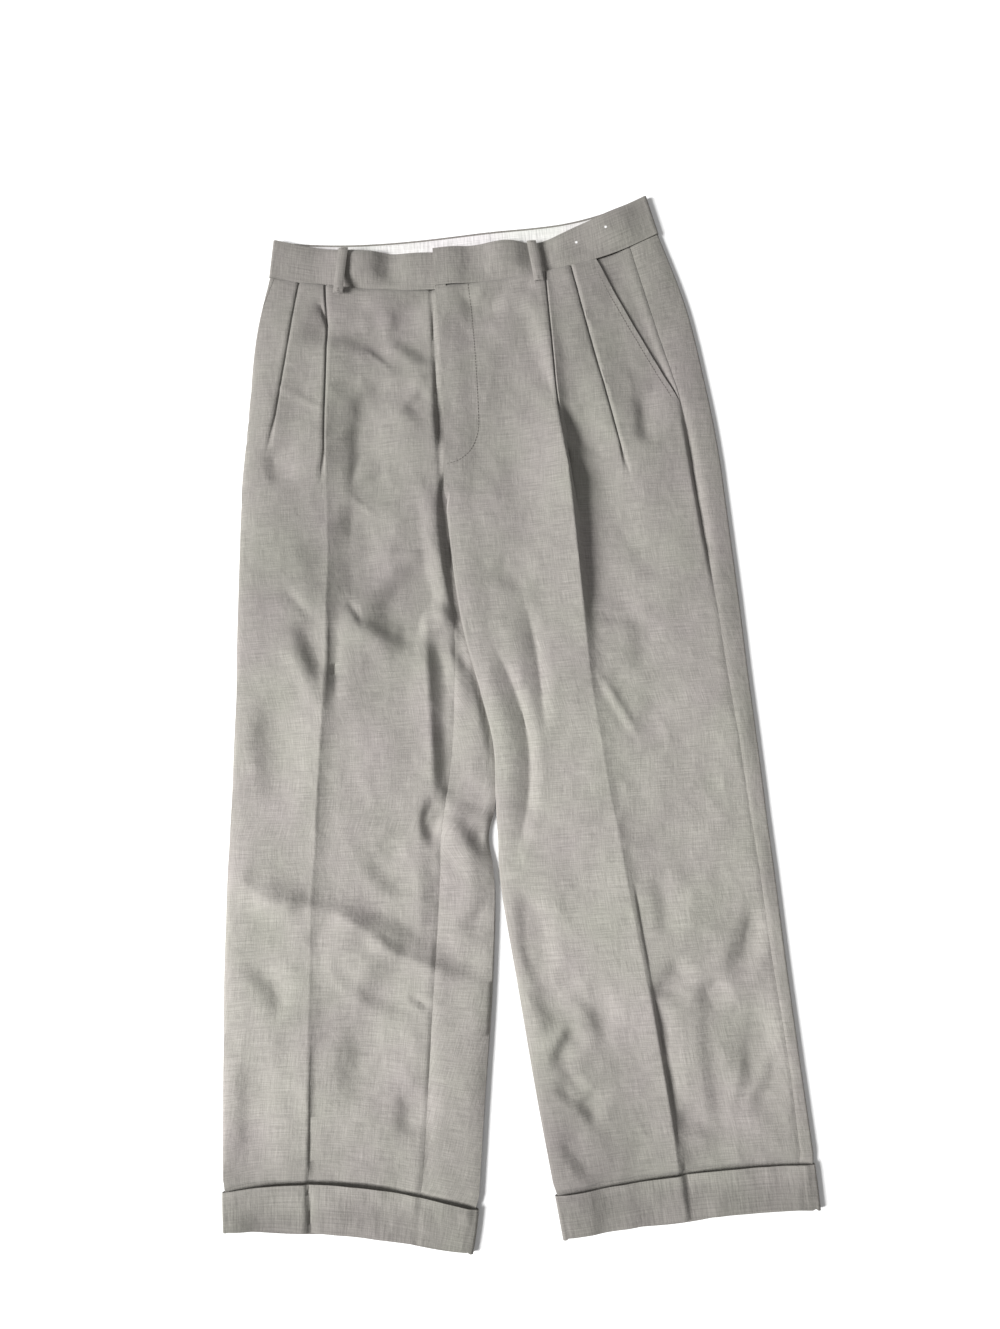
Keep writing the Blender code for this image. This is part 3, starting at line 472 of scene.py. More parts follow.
# Uneven lie: how fast each wave turns across and along the cloth, where it starts, and its height.
Wave = namedtuple("Wave", "across along start height")
LONG_WAVES = (
    Wave(0.031, 0.012, 0.0, 0.90),
    Wave(-0.019, 0.037, 1.7, 0.80),
    Wave(0.052, 0.049, 3.9, 0.50),
    Wave(0.083, -0.041, 2.2, 0.32),
    Wave(-0.064, 0.095, 5.1, 0.24),
)
CRUMPLES = (
    Wave(0.060, 0.034, 0.4, 0.34),
    Wave(-0.052, 0.058, 2.1, 0.30),
    Wave(0.094, -0.031, 3.3, 0.24),
    Wave(0.031, 0.101, 5.2, 0.20),
)
CRUMPLE_DRIFT = 1.1        # radians by which a crease's line swings from side to side
CRUMPLE_PATCHES = (0.023, 0.017)
# Waves of the waistband's front.
BAND_WAVES = (
    Fold(-112, 500, -116, 450, 0, 3.5, 24, 26),
    Fold(-88, 500, -94, 450, 0, -2.1, 14, 12),
    Fold(-60, 495, -62, 450, 0, 1.3, 16, 16),
    Fold(10, 500, 8, 450, 0, -2.1, 18, 16),
    Fold(38, 505, 40, 455, 0, 3.1, 20, 20),
    Fold(66, 505, 66, 455, 0, -2.1, 10, 12),
    Fold(120, 520, 122, 470, 0, -1.3, 16, 18),
    Fold(155, 530, 160, 480, 0, 2.4, 26, 28),
)


def clamp(value):
    """value held between 0 and 1."""
    return np.clip(value, 0.0, 1.0)


def smooth(value):
    """A soft step from 0 to 1: 3 t squared less 2 t cubed."""
    t = clamp(value)
    return t * t * (3 - 2 * t)


def mix(start, end, share):
    """start at share 0 and end at share 1, in proportion between."""
    return start + (end - start) * share


def row_at(table, stations):
    """The cuts at an array of stations: a Catmull-Rom curve through every column of the table."""
    rows = np.array(table, float)
    i = np.clip(stations.astype(int), 0, len(rows) - 2)
    t = (stations - i)[:, None]
    before = rows[np.maximum(i - 1, 0)]
    here = rows[i]
    after = rows[i + 1]
    beyond = rows[np.minimum(i + 2, len(rows) - 1)]
    bend = 2 * before - 5 * here + 4 * after - beyond
    twist = 3 * here - before - 3 * after + beyond
    values = here + 0.5 * t * (after - before + t * (bend + t * twist))
    return Row(*[values[:, k:k + 1] for k in range(rows.shape[1])])


def fold_height(folds, x, y):
    """Sum of the folds at every point.

    Along a fold, t runs from 0 to 1; its line is pushed to the left by bend times 4 t (1 - t).  The
    share a of the width away from the line gives a soft step of 1 - a, or where keen (1 - a)
    squared, and the height fades over the first and last share of the length.  The bottom of a
    trough lies to the +X side of its line, by a share of the width on the other side.
    """
    total = np.zeros_like(x)
    for fold in folds:
        run = np.array((fold.end_x - fold.start_x, fold.end_y - fold.start_y), float)
        length = np.hypot(*run)
        run /= length
        along = ((x - fold.start_x) * run[0] + (y - fold.start_y) * run[1]) / length
        held = clamp(along)
        aside = (y - fold.start_y) * run[0] - (x - fold.start_x) * run[1]
        aside = aside - fold.bend * 4 * held * (1 - held)
        spread = 1.0 if fold.keen else NEAR_SPREAD
        left, right = fold.left * spread, fold.right * spread
        shift = KEEN_SHIFT if fold.keen else SHIFT
        if fold.height < 0 and run[1] < 0:
            aside = aside - shift * right
            left *= FAR_SPREAD / NEAR_SPREAD
        elif fold.height < 0:
            aside = aside + shift * left
            right *= FAR_SPREAD / NEAR_SPREAD
        away = clamp(1 - np.abs(aside) / np.where(aside > 0, left, right))
        across = away ** 2 if fold.keen else smooth(away)
        ends = smooth((along + FOLD_OVERRUN) / FOLD_TAPER)
        ends = ends * smooth((1 + FOLD_OVERRUN - along) / FOLD_TAPER)
        total += fold.height * FOLD_DEPTH * across * ends
    return total


def slack(x, y):
    """Uneven lie of the cloth.

    Long sine waves in five directions, and patches of small sharp creases: each a height times one
    less twice the size of a sine, whose lines drift from side to side.
    """
    total = np.zeros_like(x)
    for wave in LONG_WAVES:
        total += wave.height * np.sin(wave.across * x + wave.along * y + wave.start)
    for wave in CRUMPLES:
        drift = CRUMPLE_DRIFT * np.sin(wave.along * x - wave.across * y + wave.start)
        patch = CRUMPLE_PATCHES[0] * x + CRUMPLE_PATCHES[1] * y + 2 * wave.start
        line = np.abs(np.sin(wave.across * x + wave.along * y + drift))
        total += wave.height * (0.5 + 0.5 * np.sin(patch)) * (1 - line * 2)
    return total


# One leg; side is +1 for the wearer's left; pleats are the heights of its two pleats' layers and
# pleat_ends the stations where they run out; loop_x places its belt loop, loop_lean how far it
# leans toward -X on the way down, and loop_rise how much higher it lies on the front.
Leg = namedtuple(
    "Leg",
    "name side table folds back_folds pleats pleat_ends band_height loop_x loop_lean loop_rise",
)
RIGHT = Leg("right", -1, RIGHT_ROWS, RIGHT_FOLDS, RIGHT_BACK_FOLDS, (1.25, 1.05), (2.6, 2.0),
            43.0, -132.0, 8.0, 0.6)
LEFT = Leg("left", 1, LEFT_ROWS, LEFT_FOLDS, LEFT_BACK_FOLDS, (1.4, 1.4), (2.6, 2.8),
           43.0, 77.0, -5.0, 2.4)
LEGS = (RIGHT, LEFT)


class Cut:
    """The cuts across a leg at an array of stations, each value an n x 1 array."""

    def __init__(self, leg, stations, wall, puff):
        self.leg = leg
        self.wall = wall
        self.puff = puff
        self.station = stations[:, None]
        self.row = row_at(leg.table, stations)
        row = self.row
        self.width = np.hypot(row.outer_x - row.inner_x, row.outer_y - row.inner_y)
        self.lower = np.hypot(row.outer_x - row.back_x, row.outer_y - row.back_y)
        self.tuck = clamp((self.station - TOP_OF_TURN_UP + TUCK_RUN) / TUCK_RUN)
        self.radius = mix(EDGE_RADIUS, TUCKED_RADIUS, self.tuck)
        self.low = np.interp(self.station, LOW_STATIONS, LOW_WIDTHS)
        pressed = smooth(self.low / PRESS_WIDTH) if leg.side < 0 else 0.0
        self.inner_radius = mix(self.radius, PRESSED_RADIUS, pressed)
        if leg.side > 0:
            self.inner_radius = mix(ROLLED_RADIUS, TUCKED_RADIUS, self.tuck)
        self.closed = smooth((self.station - FORK_STATION) / FORK_RUN)
        share = np.abs(row.crease_x - row.inner_x) / np.abs(row.outer_x - row.inner_x)
        self.crease = share * self.width
        pocket = 1 - clamp(self.station / POCKET_STATIONS) ** POCKET_CURVE
        self.mouth = row.side_in + POCKET_TOP * pocket
        self.floor = wall / 2 + TURN_UP_TUCK * self.tuck
        self.beside_turn_up = 0.0

    def line(self, distance, lower=False):
        """X and Y at a distance along the cut from the inner edge, or below from the outer one."""
        row = self.row
        start_x, start_y, bow = row.inner_x, row.inner_y, row.bow
        if lower:
            start_x, start_y, bow = row.back_x, row.back_y, row.back_bow
        full = np.hypot(row.outer_x - start_x, row.outer_y - start_y)
        inset = TURN_UP_INSET * self.tuck
        fraction = (inset + distance * (full - 2 * inset) / full) / full
        if lower:
            fraction = 1 - fraction
        skewed = clamp(fraction) ** BOW_SKEW
        x = mix(start_x, row.outer_x, fraction)
        y = mix(start_y, row.outer_y, fraction) + bow * 4 * skewed * (1 - skewed)
        return x, y

    def lift(self, distance):
        """Rise of both layers of the left leg where its inner edge lies on the right leg."""
        if self.leg.side < 0:
            return np.zeros_like(distance)
        start, stop = LIFT_STATIONS
        over = smooth(self.station - start) * smooth(stop - self.station)
        return LEG_LIFT * over * (1 - smooth((distance - LIFT_REACH) / LIFT_FALL))

    def fly(self, distance):
        """Rise of the left front over the right front along the fly."""
        if self.leg.side < 0:
            return np.zeros_like(distance)
        over = 1 - smooth((self.station - FLY_STATION) / FLY_FADE)
        return FLY_RISE * over * (1 - smooth((distance - FLY_LAP - FLY_EDGE) / FLY_FALL))

    def upper(self, distance, x, y):
        """Middle of the upper wall over the floor.

        Two fold radii, then the puff of the layer, which fades out toward the edges, the pressed
        ridge with its steep side to the right, the soft folds and the uneven lie; never lower than
        the layer below it.
        """
        row = self.row
        outer_in = 1 - np.exp(-np.maximum(self.width - distance - self.radius, 0) / PUFF_REACH)
        if self.leg.side > 0:
            roll = mix(ROLL_REACH, PUFF_REACH, smooth((self.station - ROLL_STATION) / ROLL_FADE))
            edge = 1 - np.exp(-np.maximum(distance - self.inner_radius, 0) / roll)
            inner_in = mix(1.0, edge, self.closed)
        else:
            edge = 1 - np.exp(-np.maximum(distance - self.inner_radius, 0) / PUFF_REACH)
            climb = smooth((distance - self.low) / LOW_CLIMB)
            edge = np.where(self.low > LOW_LEAST, climb, edge)
            inner_in = mix(1.0, edge, smooth((self.station - LOW_START) / LOW_RUN))
        inside = outer_in * inner_in
        right_of_crease = (distance - self.crease) * self.leg.side
        reach = np.where(right_of_crease > 0, CREASE_STEEP, CREASE_GENTLE)
        share = clamp(1 - np.abs(right_of_crease) / reach)
        ridge = row.crease_rise * share ** CREASE_POWER
        puff = mix(self.puff, TUCKED_PUFF, smooth(self.station - TOP_OF_TURN_UP + 1))
        base = self.floor + 2 * mix(self.inner_radius, self.radius, clamp(distance / RADIUS_RUN))
        soft = fold_height(self.leg.folds, x, y) + slack(x, y)
        seam = row.inseam_in if self.leg.side < 0 else self.width - row.side_in
        deep = clamp(row.inseam_in / SEAM_SHOWS) if self.leg.side < 0 else 1.0
        soft = soft - SEAM_DIP * deep * np.exp(-((distance - seam) / SEAM_WIDTH) ** 2)
        soft = soft - WAIST_SINK * (1 - smooth(self.station / WAIST_SINK_RUN))
        start, stop = SINK_STATIONS
        sunk = smooth((self.station - start) / (stop - start)) * (1 - self.beside_turn_up)
        soft = soft - HEM_SINK * sunk
        height = base + inside * (puff + ridge + soft)
        least = self.floor + self.wall + GAP + self.dent(x, y)
        return least + np.logaddexp(0, (height - least) / CONTACT) * CONTACT

    def dent(self, x, y):
        """How far the lower layer stands off the floor."""
        level = 1 - self.tuck
        return np.maximum(fold_height(self.leg.back_folds, x, y), 0) * level

    def place(self, e, rise=0.0, inner_fold=True):
        """Points at distances round the cut.

        Past an edge's fold radius the distance is an arc: the angle is the arc over the radius, the
        point is the radius times sine out and cosine up from the fold's middle, and past half a
        turn it runs back along the lower layer.
        """
        e = np.broadcast_to(e, (len(self.station), np.shape(e)[-1]))
        r_out = self.radius
        r_in = self.inner_radius
        turn_out = np.clip((e - (self.width - r_out)) / r_out, 0, np.pi)
        past_out = np.maximum(e - (self.width - r_out + np.pi * r_out), 0)
        lowest = r_in if inner_fold else 0.0
        turn_in = np.clip((r_in - e) / r_in, 0, np.pi) if inner_fold else np.zeros_like(e)
        past_in = np.maximum(r_in - np.pi * r_in - e, 0) if inner_fold else 0.0
        middle = np.clip(e, lowest, self.width - r_out)
        distance = middle + r_out * np.sin(turn_out) - r_in * np.sin(turn_in) - past_out + past_in
        x, y = self.line(distance)
        below_x, below_y = self.line(self.width - distance, lower=True)
        under = (1 - np.cos(np.maximum(turn_out, turn_in))) / 2
        top = self.upper(distance, x, y) + self.fly(distance) + rise
        x = mix(x, below_x, under)
        y = mix(y, below_y, under)
        level = self.floor + self.dent(x, y) * smooth((past_out + past_in) / DENT_RUN)
        z = mix(top, level, under) + self.lift(distance)
        return np.stack((x, y, z), axis=-1)

    def below(self, distance):
        """Points of the lower layer at distances from the outer edge."""
        distance = np.broadcast_to(distance, (len(self.station), np.shape(distance)[-1]))
        x, y = self.line(distance, lower=True)
        from_outer = smooth((distance - self.radius) / DENT_RUN)
        z = self.floor + self.dent(x, y) * from_outer + self.lift(self.width - distance)
        return np.stack((x, y, z), axis=-1)


def spaced(start, stop, count, first=True):
    """Even steps from start to stop along each cut, with or without the start itself."""
    shares = np.arange(0 if first else 1, count + 1) / count
    return start + (stop - start) * shares


def pleat_keys(position, depth, ramp, thick):
    """Corners of a pleat as distances and rises, inner to outer.

    The upper layer comes out over a Z of two more layers and turns back at its edge; once the depth
    is used up the three layers spread out flat side by side.
    """
    edge = PLEAT_EDGE
    spread = np.maximum(depth, -3 * edge)
    layer = thick * clamp(1 + spread / (3 * edge))
    turn = np.clip(spread / (4 * edge), -1.0, 1.0)
    back = position - spread
    top_start = np.minimum(back, position - edge) - 0.5
    top_start = np.where(spread < 3 * edge, position - 2 * edge - 1.0, top_start)
    distances = (
        np.minimum(back, position) - ramp, top_start, position - edge, position,
        position - edge * turn, back + edge * turn, back, back + edge,
        np.maximum(position, back + edge) + PLEAT_CLEAR,
    )
    return distances, tuple(rise * layer for rise in PLEAT_RISES)


def through(keys, counts):
    """Columns through key columns, with the given number of even steps between each pair."""
    columns = [keys[0]]
    for start, stop, count in zip(keys, keys[1:], counts):
        columns.append(spaced(start, stop, count, first=False))
    return np.concatenate(columns, axis=1)


def front_keys(cut):
    """Corner columns of a front from its level margin to its outer end, and their rises.

    Outside each pleat the cloth climbs back nearly to the pleat's own height, which leaves a narrow
    groove along the fold, and comes down again over FILL_FALL.
    """
    row = cut.row
    depths = [
        full * (1 - cut.station / length) - PLEAT_SPENT
        for full, length in zip(PLEAT_DEPTHS, cut.leg.pleat_ends)
    ]
    free = row.second - np.maximum(depths[1], 0) - PLEAT_CLEAR - FILL_RUN
    ramp = np.clip(free * RAMP_SHARE, LEAST_RAMP, PLEAT_RAMP)
    layers = cut.leg.pleats
    first, first_rise = pleat_keys(cut.crease, depths[0], PLEAT_RAMP, layers[0])
    second, second_rise = pleat_keys(cut.crease + row.second, depths[1], ramp, layers[1])
    end = cut.width - cut.mouth
    first_fill = np.minimum(first[-1] + FILL_RUN, second[0] - 0.5)
    second_fill = np.minimum(second[-1] + FILL_RUN, end - 2.0)
    fill_end = np.minimum(second_fill + FILL_FALL, end - 1.0)
    height_one = FILL * first_rise[1]
    height_two = FILL * second_rise[1]
    kept = height_one * (1 - smooth((second[0] - first_fill) / FILL_FALL))
    distances = first + (first_fill,) + second + (second_fill, fill_end, end)
    second_rise = (kept,) + tuple(np.maximum(second_rise[1:2], kept)) + second_rise[2:]
    zero = np.zeros_like(end)
    rises = first_rise + (height_one,) + second_rise + (height_two, zero, zero)
    return distances, rises


def front_grid(cut):
    """Middle surface of a front panel and the distance of each of its columns round the cut."""
    keys, rises = front_keys(cut)
    zero = np.zeros_like(keys[-1])
    if cut.leg.side < 0:
        begin = np.maximum(cut.row.inseam_in, 0) + GAP / 2
        counts = (RIGHT_INNER_STEPS,) + FRONT_STEPS
    else:
        begin = zero + FRONT_MARGIN
        counts = (LEFT_INNER_STEPS,) + FRONT_STEPS
    e = through((begin,) + keys, counts)
    main_part = cut.place(e, through((zero,) + rises, counts), inner_fold=False)
    if cut.leg.side < 0:
        return main_part, e
    shares = np.linspace(0, 1, LEFT_EDGE_STEPS + 1)[:-1]
    edge_e = mix(cut.inner_radius * (1 - np.pi) - LEFT_TUCK, begin, shares)
    open_edge = cut.place(mix(zero, begin, shares), inner_fold=False)
    edge_part = mix(open_edge, cut.place(edge_e), cut.closed[:, :, None])
    return np.concatenate((edge_part, main_part), axis=1), np.concatenate((edge_e, e), axis=1)


def back_grid(cut):
    """Middle surface of a back panel and the distance of its columns from the side seam."""
    row = cut.row
    begin = cut.width - row.side_in + GAP
    round_out = cut.width - 2 * cut.radius + np.pi * cut.radius
    if cut.leg.side > 0:
        reach = mix(cut.lower - GAP / 2, cut.lower - cut.inner_radius - LEFT_TUCK - GAP, cut.closed)
        e = through((begin, cut.width - cut.radius, round_out + cut.radius,
                     round_out + FINE_BACK, round_out + reach), LEFT_BACK_STEPS)
        return cut.place(e), e
    reach = cut.lower - BACK_MARGIN
    e = spaced(begin, round_out + reach, RIGHT_BACK_STEPS)
    main_part = cut.place(e)
    shares = np.linspace(0, 1, RIGHT_EDGE_STEPS + 1)[1:]
    open_edge = cut.below(mix(reach, cut.lower - GAP / 2, shares))
    seam = np.maximum(row.inseam_in, LEAST_SEAM) - GAP / 2
    deepest = cut.inner_radius * (2 - np.pi) - BACK_MARGIN
    shut = cut.place(mix(deepest, seam, shares))
    edge_part = mix(open_edge, shut, cut.closed[:, :, None])
    seam_e = round_out + reach + mix(0 * deepest, seam - deepest, shares)
    return np.concatenate((main_part, edge_part), axis=1), np.concatenate((e, seam_e), axis=1)


def facing_grid(cut):
    """Middle surface of a pocket facing, from the pocket mouth to the side seam."""
    tucked = FACING_TUCK if cut.leg.side > 0 else -GAP
    e = spaced(cut.width - cut.mouth - tucked, cut.width - cut.row.side_in - GAP, FACING_STEPS)
    grid = cut.place(e)
    if cut.leg.side > 0:
        grid[..., 2] -= FACING_DROP * (1 - smooth(np.linspace(-1, 1, FACING_STEPS + 1)))
    return grid, e


def lengths_down(grid):
    """Distance down the middle column of a grid from its first row, as an n x 1 array."""
    middle = grid[:, grid.shape[1] // 2]
    steps = np.linalg.norm(np.diff(middle, axis=0), axis=1)
    return np.concatenate(([0.0], np.cumsum(steps)))[:, None]


def shell(name, grid, wall, ring=False, weave=None):
    """A closed wall of even thickness round a grid of middle points.

    The surface's two directions are differences of neighbouring points, and their cross product
    is the way out: the outer skin stands half a wall along it and the inner skin half a wall back.
    weave holds how far round and how far down each point is, for the piece's UV map; without it,
    how far round is a count of columns.
    """
    rows, columns = grid.shape[:2]
    if ring:
        across = np.roll(grid, -1, axis=1) - np.roll(grid, 1, axis=1)
    else:
        across = np.gradient(grid, axis=1)
    along = np.gradient(grid, axis=0)
    normal = np.cross(across, along)
    normal /= np.maximum(np.linalg.norm(normal, axis=2, keepdims=True), TINY)
    outer = (grid + normal * wall / 2).reshape(-1, 3)
    inner = (grid - normal * wall / 2).reshape(-1, 3)
    points = np.vstack((outer, inner)) * MM
    index = np.arange(rows * columns).reshape(rows, columns)
    around = np.hstack((index, index[:, :1])) if ring else index
    a, b = around[:-1, :-1], around[:-1, 1:]
    c, d = around[1:, 1:], around[1:, :-1]
    count = rows * columns
    quads = [np.stack((a, d, c, b), -1), np.stack((a, b, c, d), -1) + count]
    top, bottom = around[0], around[-1]
    quads.append(rim(top[:-1], top[1:], count))
    quads.append(rim(bottom[1:], bottom[:-1], count))
    if not ring:
        quads.append(rim(index[1:, 0], index[:-1, 0], count))
        quads.append(rim(index[:-1, -1], index[1:, -1], count))
    faces = np.vstack([quad.reshape(-1, 4) for quad in quads])
    if weave is None:
        weave = (np.cumsum(np.ones_like(grid[..., 0]), axis=1), lengths_down(grid))
    u = np.broadcast_to(weave[0], (rows, columns)).reshape(-1)
    v = np.broadcast_to(weave[1], (rows, columns)).reshape(-1)
    uv = np.tile(np.stack((u, v), -1) * MM, (2, 1))
    return add_mesh(name, points, faces, uv)


def rim(start, stop, count):
    """Faces across the wall along one edge of the grid."""
    return np.stack((start, stop, stop + count, start + count), -1)


def add_mesh(name, points, faces, uv=None):
    """A smooth-shaded object from arrays of points, quads and, for each point, UV places."""
    mesh = bpy.data.meshes.new(name)
    mesh.vertices.add(len(points))
    mesh.vertices.foreach_set("co", points.astype(np.float32).ravel())
    corners = faces.astype(np.int32).ravel()
    mesh.loops.add(len(corners))
    mesh.loops.foreach_set("vertex_index", corners)
    mesh.polygons.add(len(faces))
    mesh.polygons.foreach_set("loop_start", np.arange(0, len(corners), faces.shape[1], dtype=np.int32))
    if uv is not None:
        layer = mesh.uv_layers.new(name="weave")
        layer.data.foreach_set("uv", uv[corners].astype(np.float32).ravel())
    mesh.update(calc_edges=True)
    mesh.validate()
    mesh.shade_smooth()
    mesh.set_sharp_from_angle(angle=np.radians(SHARP_ANGLE))
    piece = bpy.data.objects.new(name, mesh)
    bpy.context.scene.collection.objects.link(piece)
    return piece


def lay_cloth(piece_name, node, grid, wall, material="greige_wool",
              round_cut=None, ring=False):
    """A sheet of cloth over its CAD node, with its material and its cut."""
    weave = None if round_cut is None else (round_cut, lengths_down(grid))
    piece = shell(piece_name, grid, wall, ring, weave)
    piece.data.materials.append(cloth(material))
    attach(piece, "root")
    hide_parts(node)


def panel_stations(leg, first, last, count):
    """Stations from first to last whose cuts lie at even distances down the leg.

    Closer ones are added where the leg goes into its turn-up.
    """
    fine = np.linspace(first, last, FINE_STATIONS)
    row = row_at(leg.table, fine)
    height = (row.inner_y + row.outer_y)[:, 0] / 2
    even = np.interp(np.linspace(height[0], height[-1], count), height[::-1], fine[::-1])
    if last < TOP_OF_TURN_UP:
        return even
    return np.unique(np.concatenate((even, np.linspace(*SINK_STATIONS, SINK_ROWS))))


def turn_up_grid(cut, turn_up_wall):
    """Middle surface of a turn-up, a ring: inner fold, upper layer, outer fold, lower layer.

    The upper layer follows the leg inside it.  The hem of the lower layer hangs out unevenly.
    """
    leg, wall = cut.leg, cut.wall
    cut.tuck = np.ones_like(cut.tuck)
    cut.radius = np.full_like(cut.radius, TUCKED_RADIUS)
    cut.inner_radius = cut.radius
    cut.floor = wall / 2 + TURN_UP_TUCK * cut.tuck
    cut.beside_turn_up = 1.0
    width, radius = cut.width, TURN_UP_RADIUS
    half_turn = np.linspace(0, np.pi, TURN_UP_FOLD_POINTS)
    near = radius * (1 - np.sin(half_turn))
    fold_z = turn_up_wall / 2 + radius * (1 + np.cos(half_turn))
    upper = spaced(radius + 0 * width, width - radius, TURN_UP_STEPS[0])[:, 1:-1]
    lower = spaced(width - radius, radius + 0 * width, TURN_UP_STEPS[1])[:, 1:-1]
    distance = np.hstack((near[::-1] + 0 * width, upper, width - near, lower))
    inset, cut.tuck = cut.tuck, np.zeros_like(cut.tuck)
    x, y = cut.line(distance)
    upper_x, upper_y = cut.line(upper)
    cut.tuck = inset
    nearest = np.minimum(upper, width - upper) - radius
    flare = TURN_UP_FLARE * (1 - smooth((cut.station - TOP_OF_TURN_UP) / FLARE_RUN))
    flare = flare * (1 + 0.5 * np.sin(upper_x * FLARE_WAVE + 2 * leg.side))
    ease = (wall + turn_up_wall) / 2 + TURN_UP_EASE + flare
    lain = cut.upper(upper, upper_x, upper_y) + ease
    crown = turn_up_wall / 2 + 2 * radius
    top = mix(crown, np.maximum(lain, crown - TURN_UP_SAG), smooth(nearest / TURN_UP_EDGE))
    flat = np.full_like(lower, turn_up_wall / 2)
    fold = np.broadcast_to(fold_z, (len(width), len(fold_z)))
    z = np.hstack((fold[:, ::-1], top, fold, flat))
    half = np.full_like(fold, 0.5)
    under = np.hstack((half, np.zeros_like(top), half, np.ones_like(flat)))
    hang = HANG + HANG_SWING * np.sin(x * HANG_WAVE + leg.side)
    y = y - under * hang * smooth((cut.station - HANG_STATION) / (HEM - HANG_STATION))
    return np.stack((x, y, z), axis=-1)


def band_edge(leg, x, y, lower):
    """The point of the waistband's top edge over a point of its seam."""
    outer = leg.table[0].outer_x
    near_side = smooth(1 - np.abs(outer - x) / BAND_SLANT_REACH)
    if leg.side < 0:
        return x + RIGHT_BAND_SLANT * near_side, y + leg.band_height + 0 * near_side
    dip = BAND_DIP * smooth(1 - np.abs(x - BAND_DIP_X) / BAND_DIP_WIDTH) * (1 - lower)
    height = leg.band_height + LEFT_BAND_GAIN * near_side - dip
    return x + LEFT_BAND_SLANT * near_side, y + height


def band_grid(leg, shares, lining=False):
    """Middle surface of a waistband half, from its front end round the side to the centre back.

    Its rows lie at these shares of the band's height.  A lining has the lower layer only.
    """
    cut = Cut(leg, np.zeros(1), BAND_WALL, 0.0)
    width, radius = cut.width, BAND_RADIUS
    half_turn = np.linspace(0, np.pi, BAND_FOLD_POINTS)
    front = spaced(0 * width, width - radius, BAND_STEPS[0])
    fold = width - radius * (1 - np.sin(half_turn))
    if lining:
        below = spaced(LINING_START + 0 * width, cut.lower - GAP / 2, LINING_STEPS)
        x, y = cut.line(below, lower=True)
        z = np.full_like(below, BAND_WALL / 2)
        lower = np.ones_like(x)
    else:
        below = spaced(radius + 0 * width, cut.lower - GAP / 2, BAND_STEPS[1], first=False)
        x_top, y_top = cut.line(np.hstack((front, fold[:, 1:])))
        x_low, y_low = cut.line(below, lower=True)
        x, y = np.hstack((x_top, x_low)), np.hstack((y_top, y_low))
        front_z = BAND_WALL / 2 + 2 * radius + 0 * front
        fold_z = BAND_WALL / 2 + radius * (1 + np.cos(half_turn[1:]))[None]
        z = np.hstack((front_z, fold_z, np.full_like(below, BAND_WALL / 2)))
        lower = np.hstack((np.zeros_like(x_top), np.ones_like(x_low)))
    edge_x, edge_y = band_edge(leg, x, y, lower)
    run = np.hypot(edge_x - x, edge_y - y)
    share = GAP / run + (1 - GAP / run) * shares[:, None]
    points_x = mix(x, edge_x, share)
    points_y = mix(y, edge_y, share)
    points_z = np.broadcast_to(z, points_x.shape).copy()
    if not lining:
        count = front.shape[1]
        inside = smooth((width - front) / BAND_FLATTEN)
        wave = fold_height(BAND_WAVES, points_x[:, :count], points_y[:, :count])
        rounded = 1 - BAND_ROUNDING * (2 * shares[:, None] - 1) ** 4
        points_z[:, :count] += inside * (BAND_CROWN * rounded + wave)
        if leg.side > 0:
            beyond = (front - FLY_LAP - BAND_LAP_EDGE) / BAND_LAP_FALL
            points_z[:, :count] += BAND_LAP_RISE * (1 - smooth(beyond))
    return np.stack((points_x, points_y, points_z), axis=-1)


def loop_grid(leg, wall):
    """Middle surface of a belt loop: a strap over the waistband, sewn down onto the front."""
    down = np.linspace(0, 1, LOOP_STEPS[0] + 1)[:, None]
    side = np.linspace(0, 1, LOOP_STEPS[1] + 1)[None]
    band = band_grid(leg, LOOP_BAND_SHARES)
    near = np.abs(band[1, :BAND_STEPS[0], 0] - leg.loop_x).argmin()
    top = band[2, near, 1] + LOOP_ABOVE
    foot = band[0, near, 1] - LOOP_SEAM - LOOP_BELOW_SEAM
    x = leg.loop_x + LOOP_WIDTH * (side - 0.5) - leg.loop_lean * (down - LOOP_PIVOT)
    y = mix(top, foot, down) + 0 * x
    beside = slice(max(near - LOOP_BESIDE, 0), near + LOOP_BESIDE)
    over_band = band[1, beside, 2].max() + BAND_WALL / 2
    step = smooth((down - LOOP_STEP) / LOOP_STEP_RUN)
    level = mix(over_band, over_band + leg.loop_rise, step)
    crown = LOOP_CROWN * (1 - (2 * side - 1) ** 2)
    z = level + GAP + wall / 2 + LOOP_ARCH * np.sin(np.pi * down) + crown
    return np.stack((x, y, z), axis=-1)


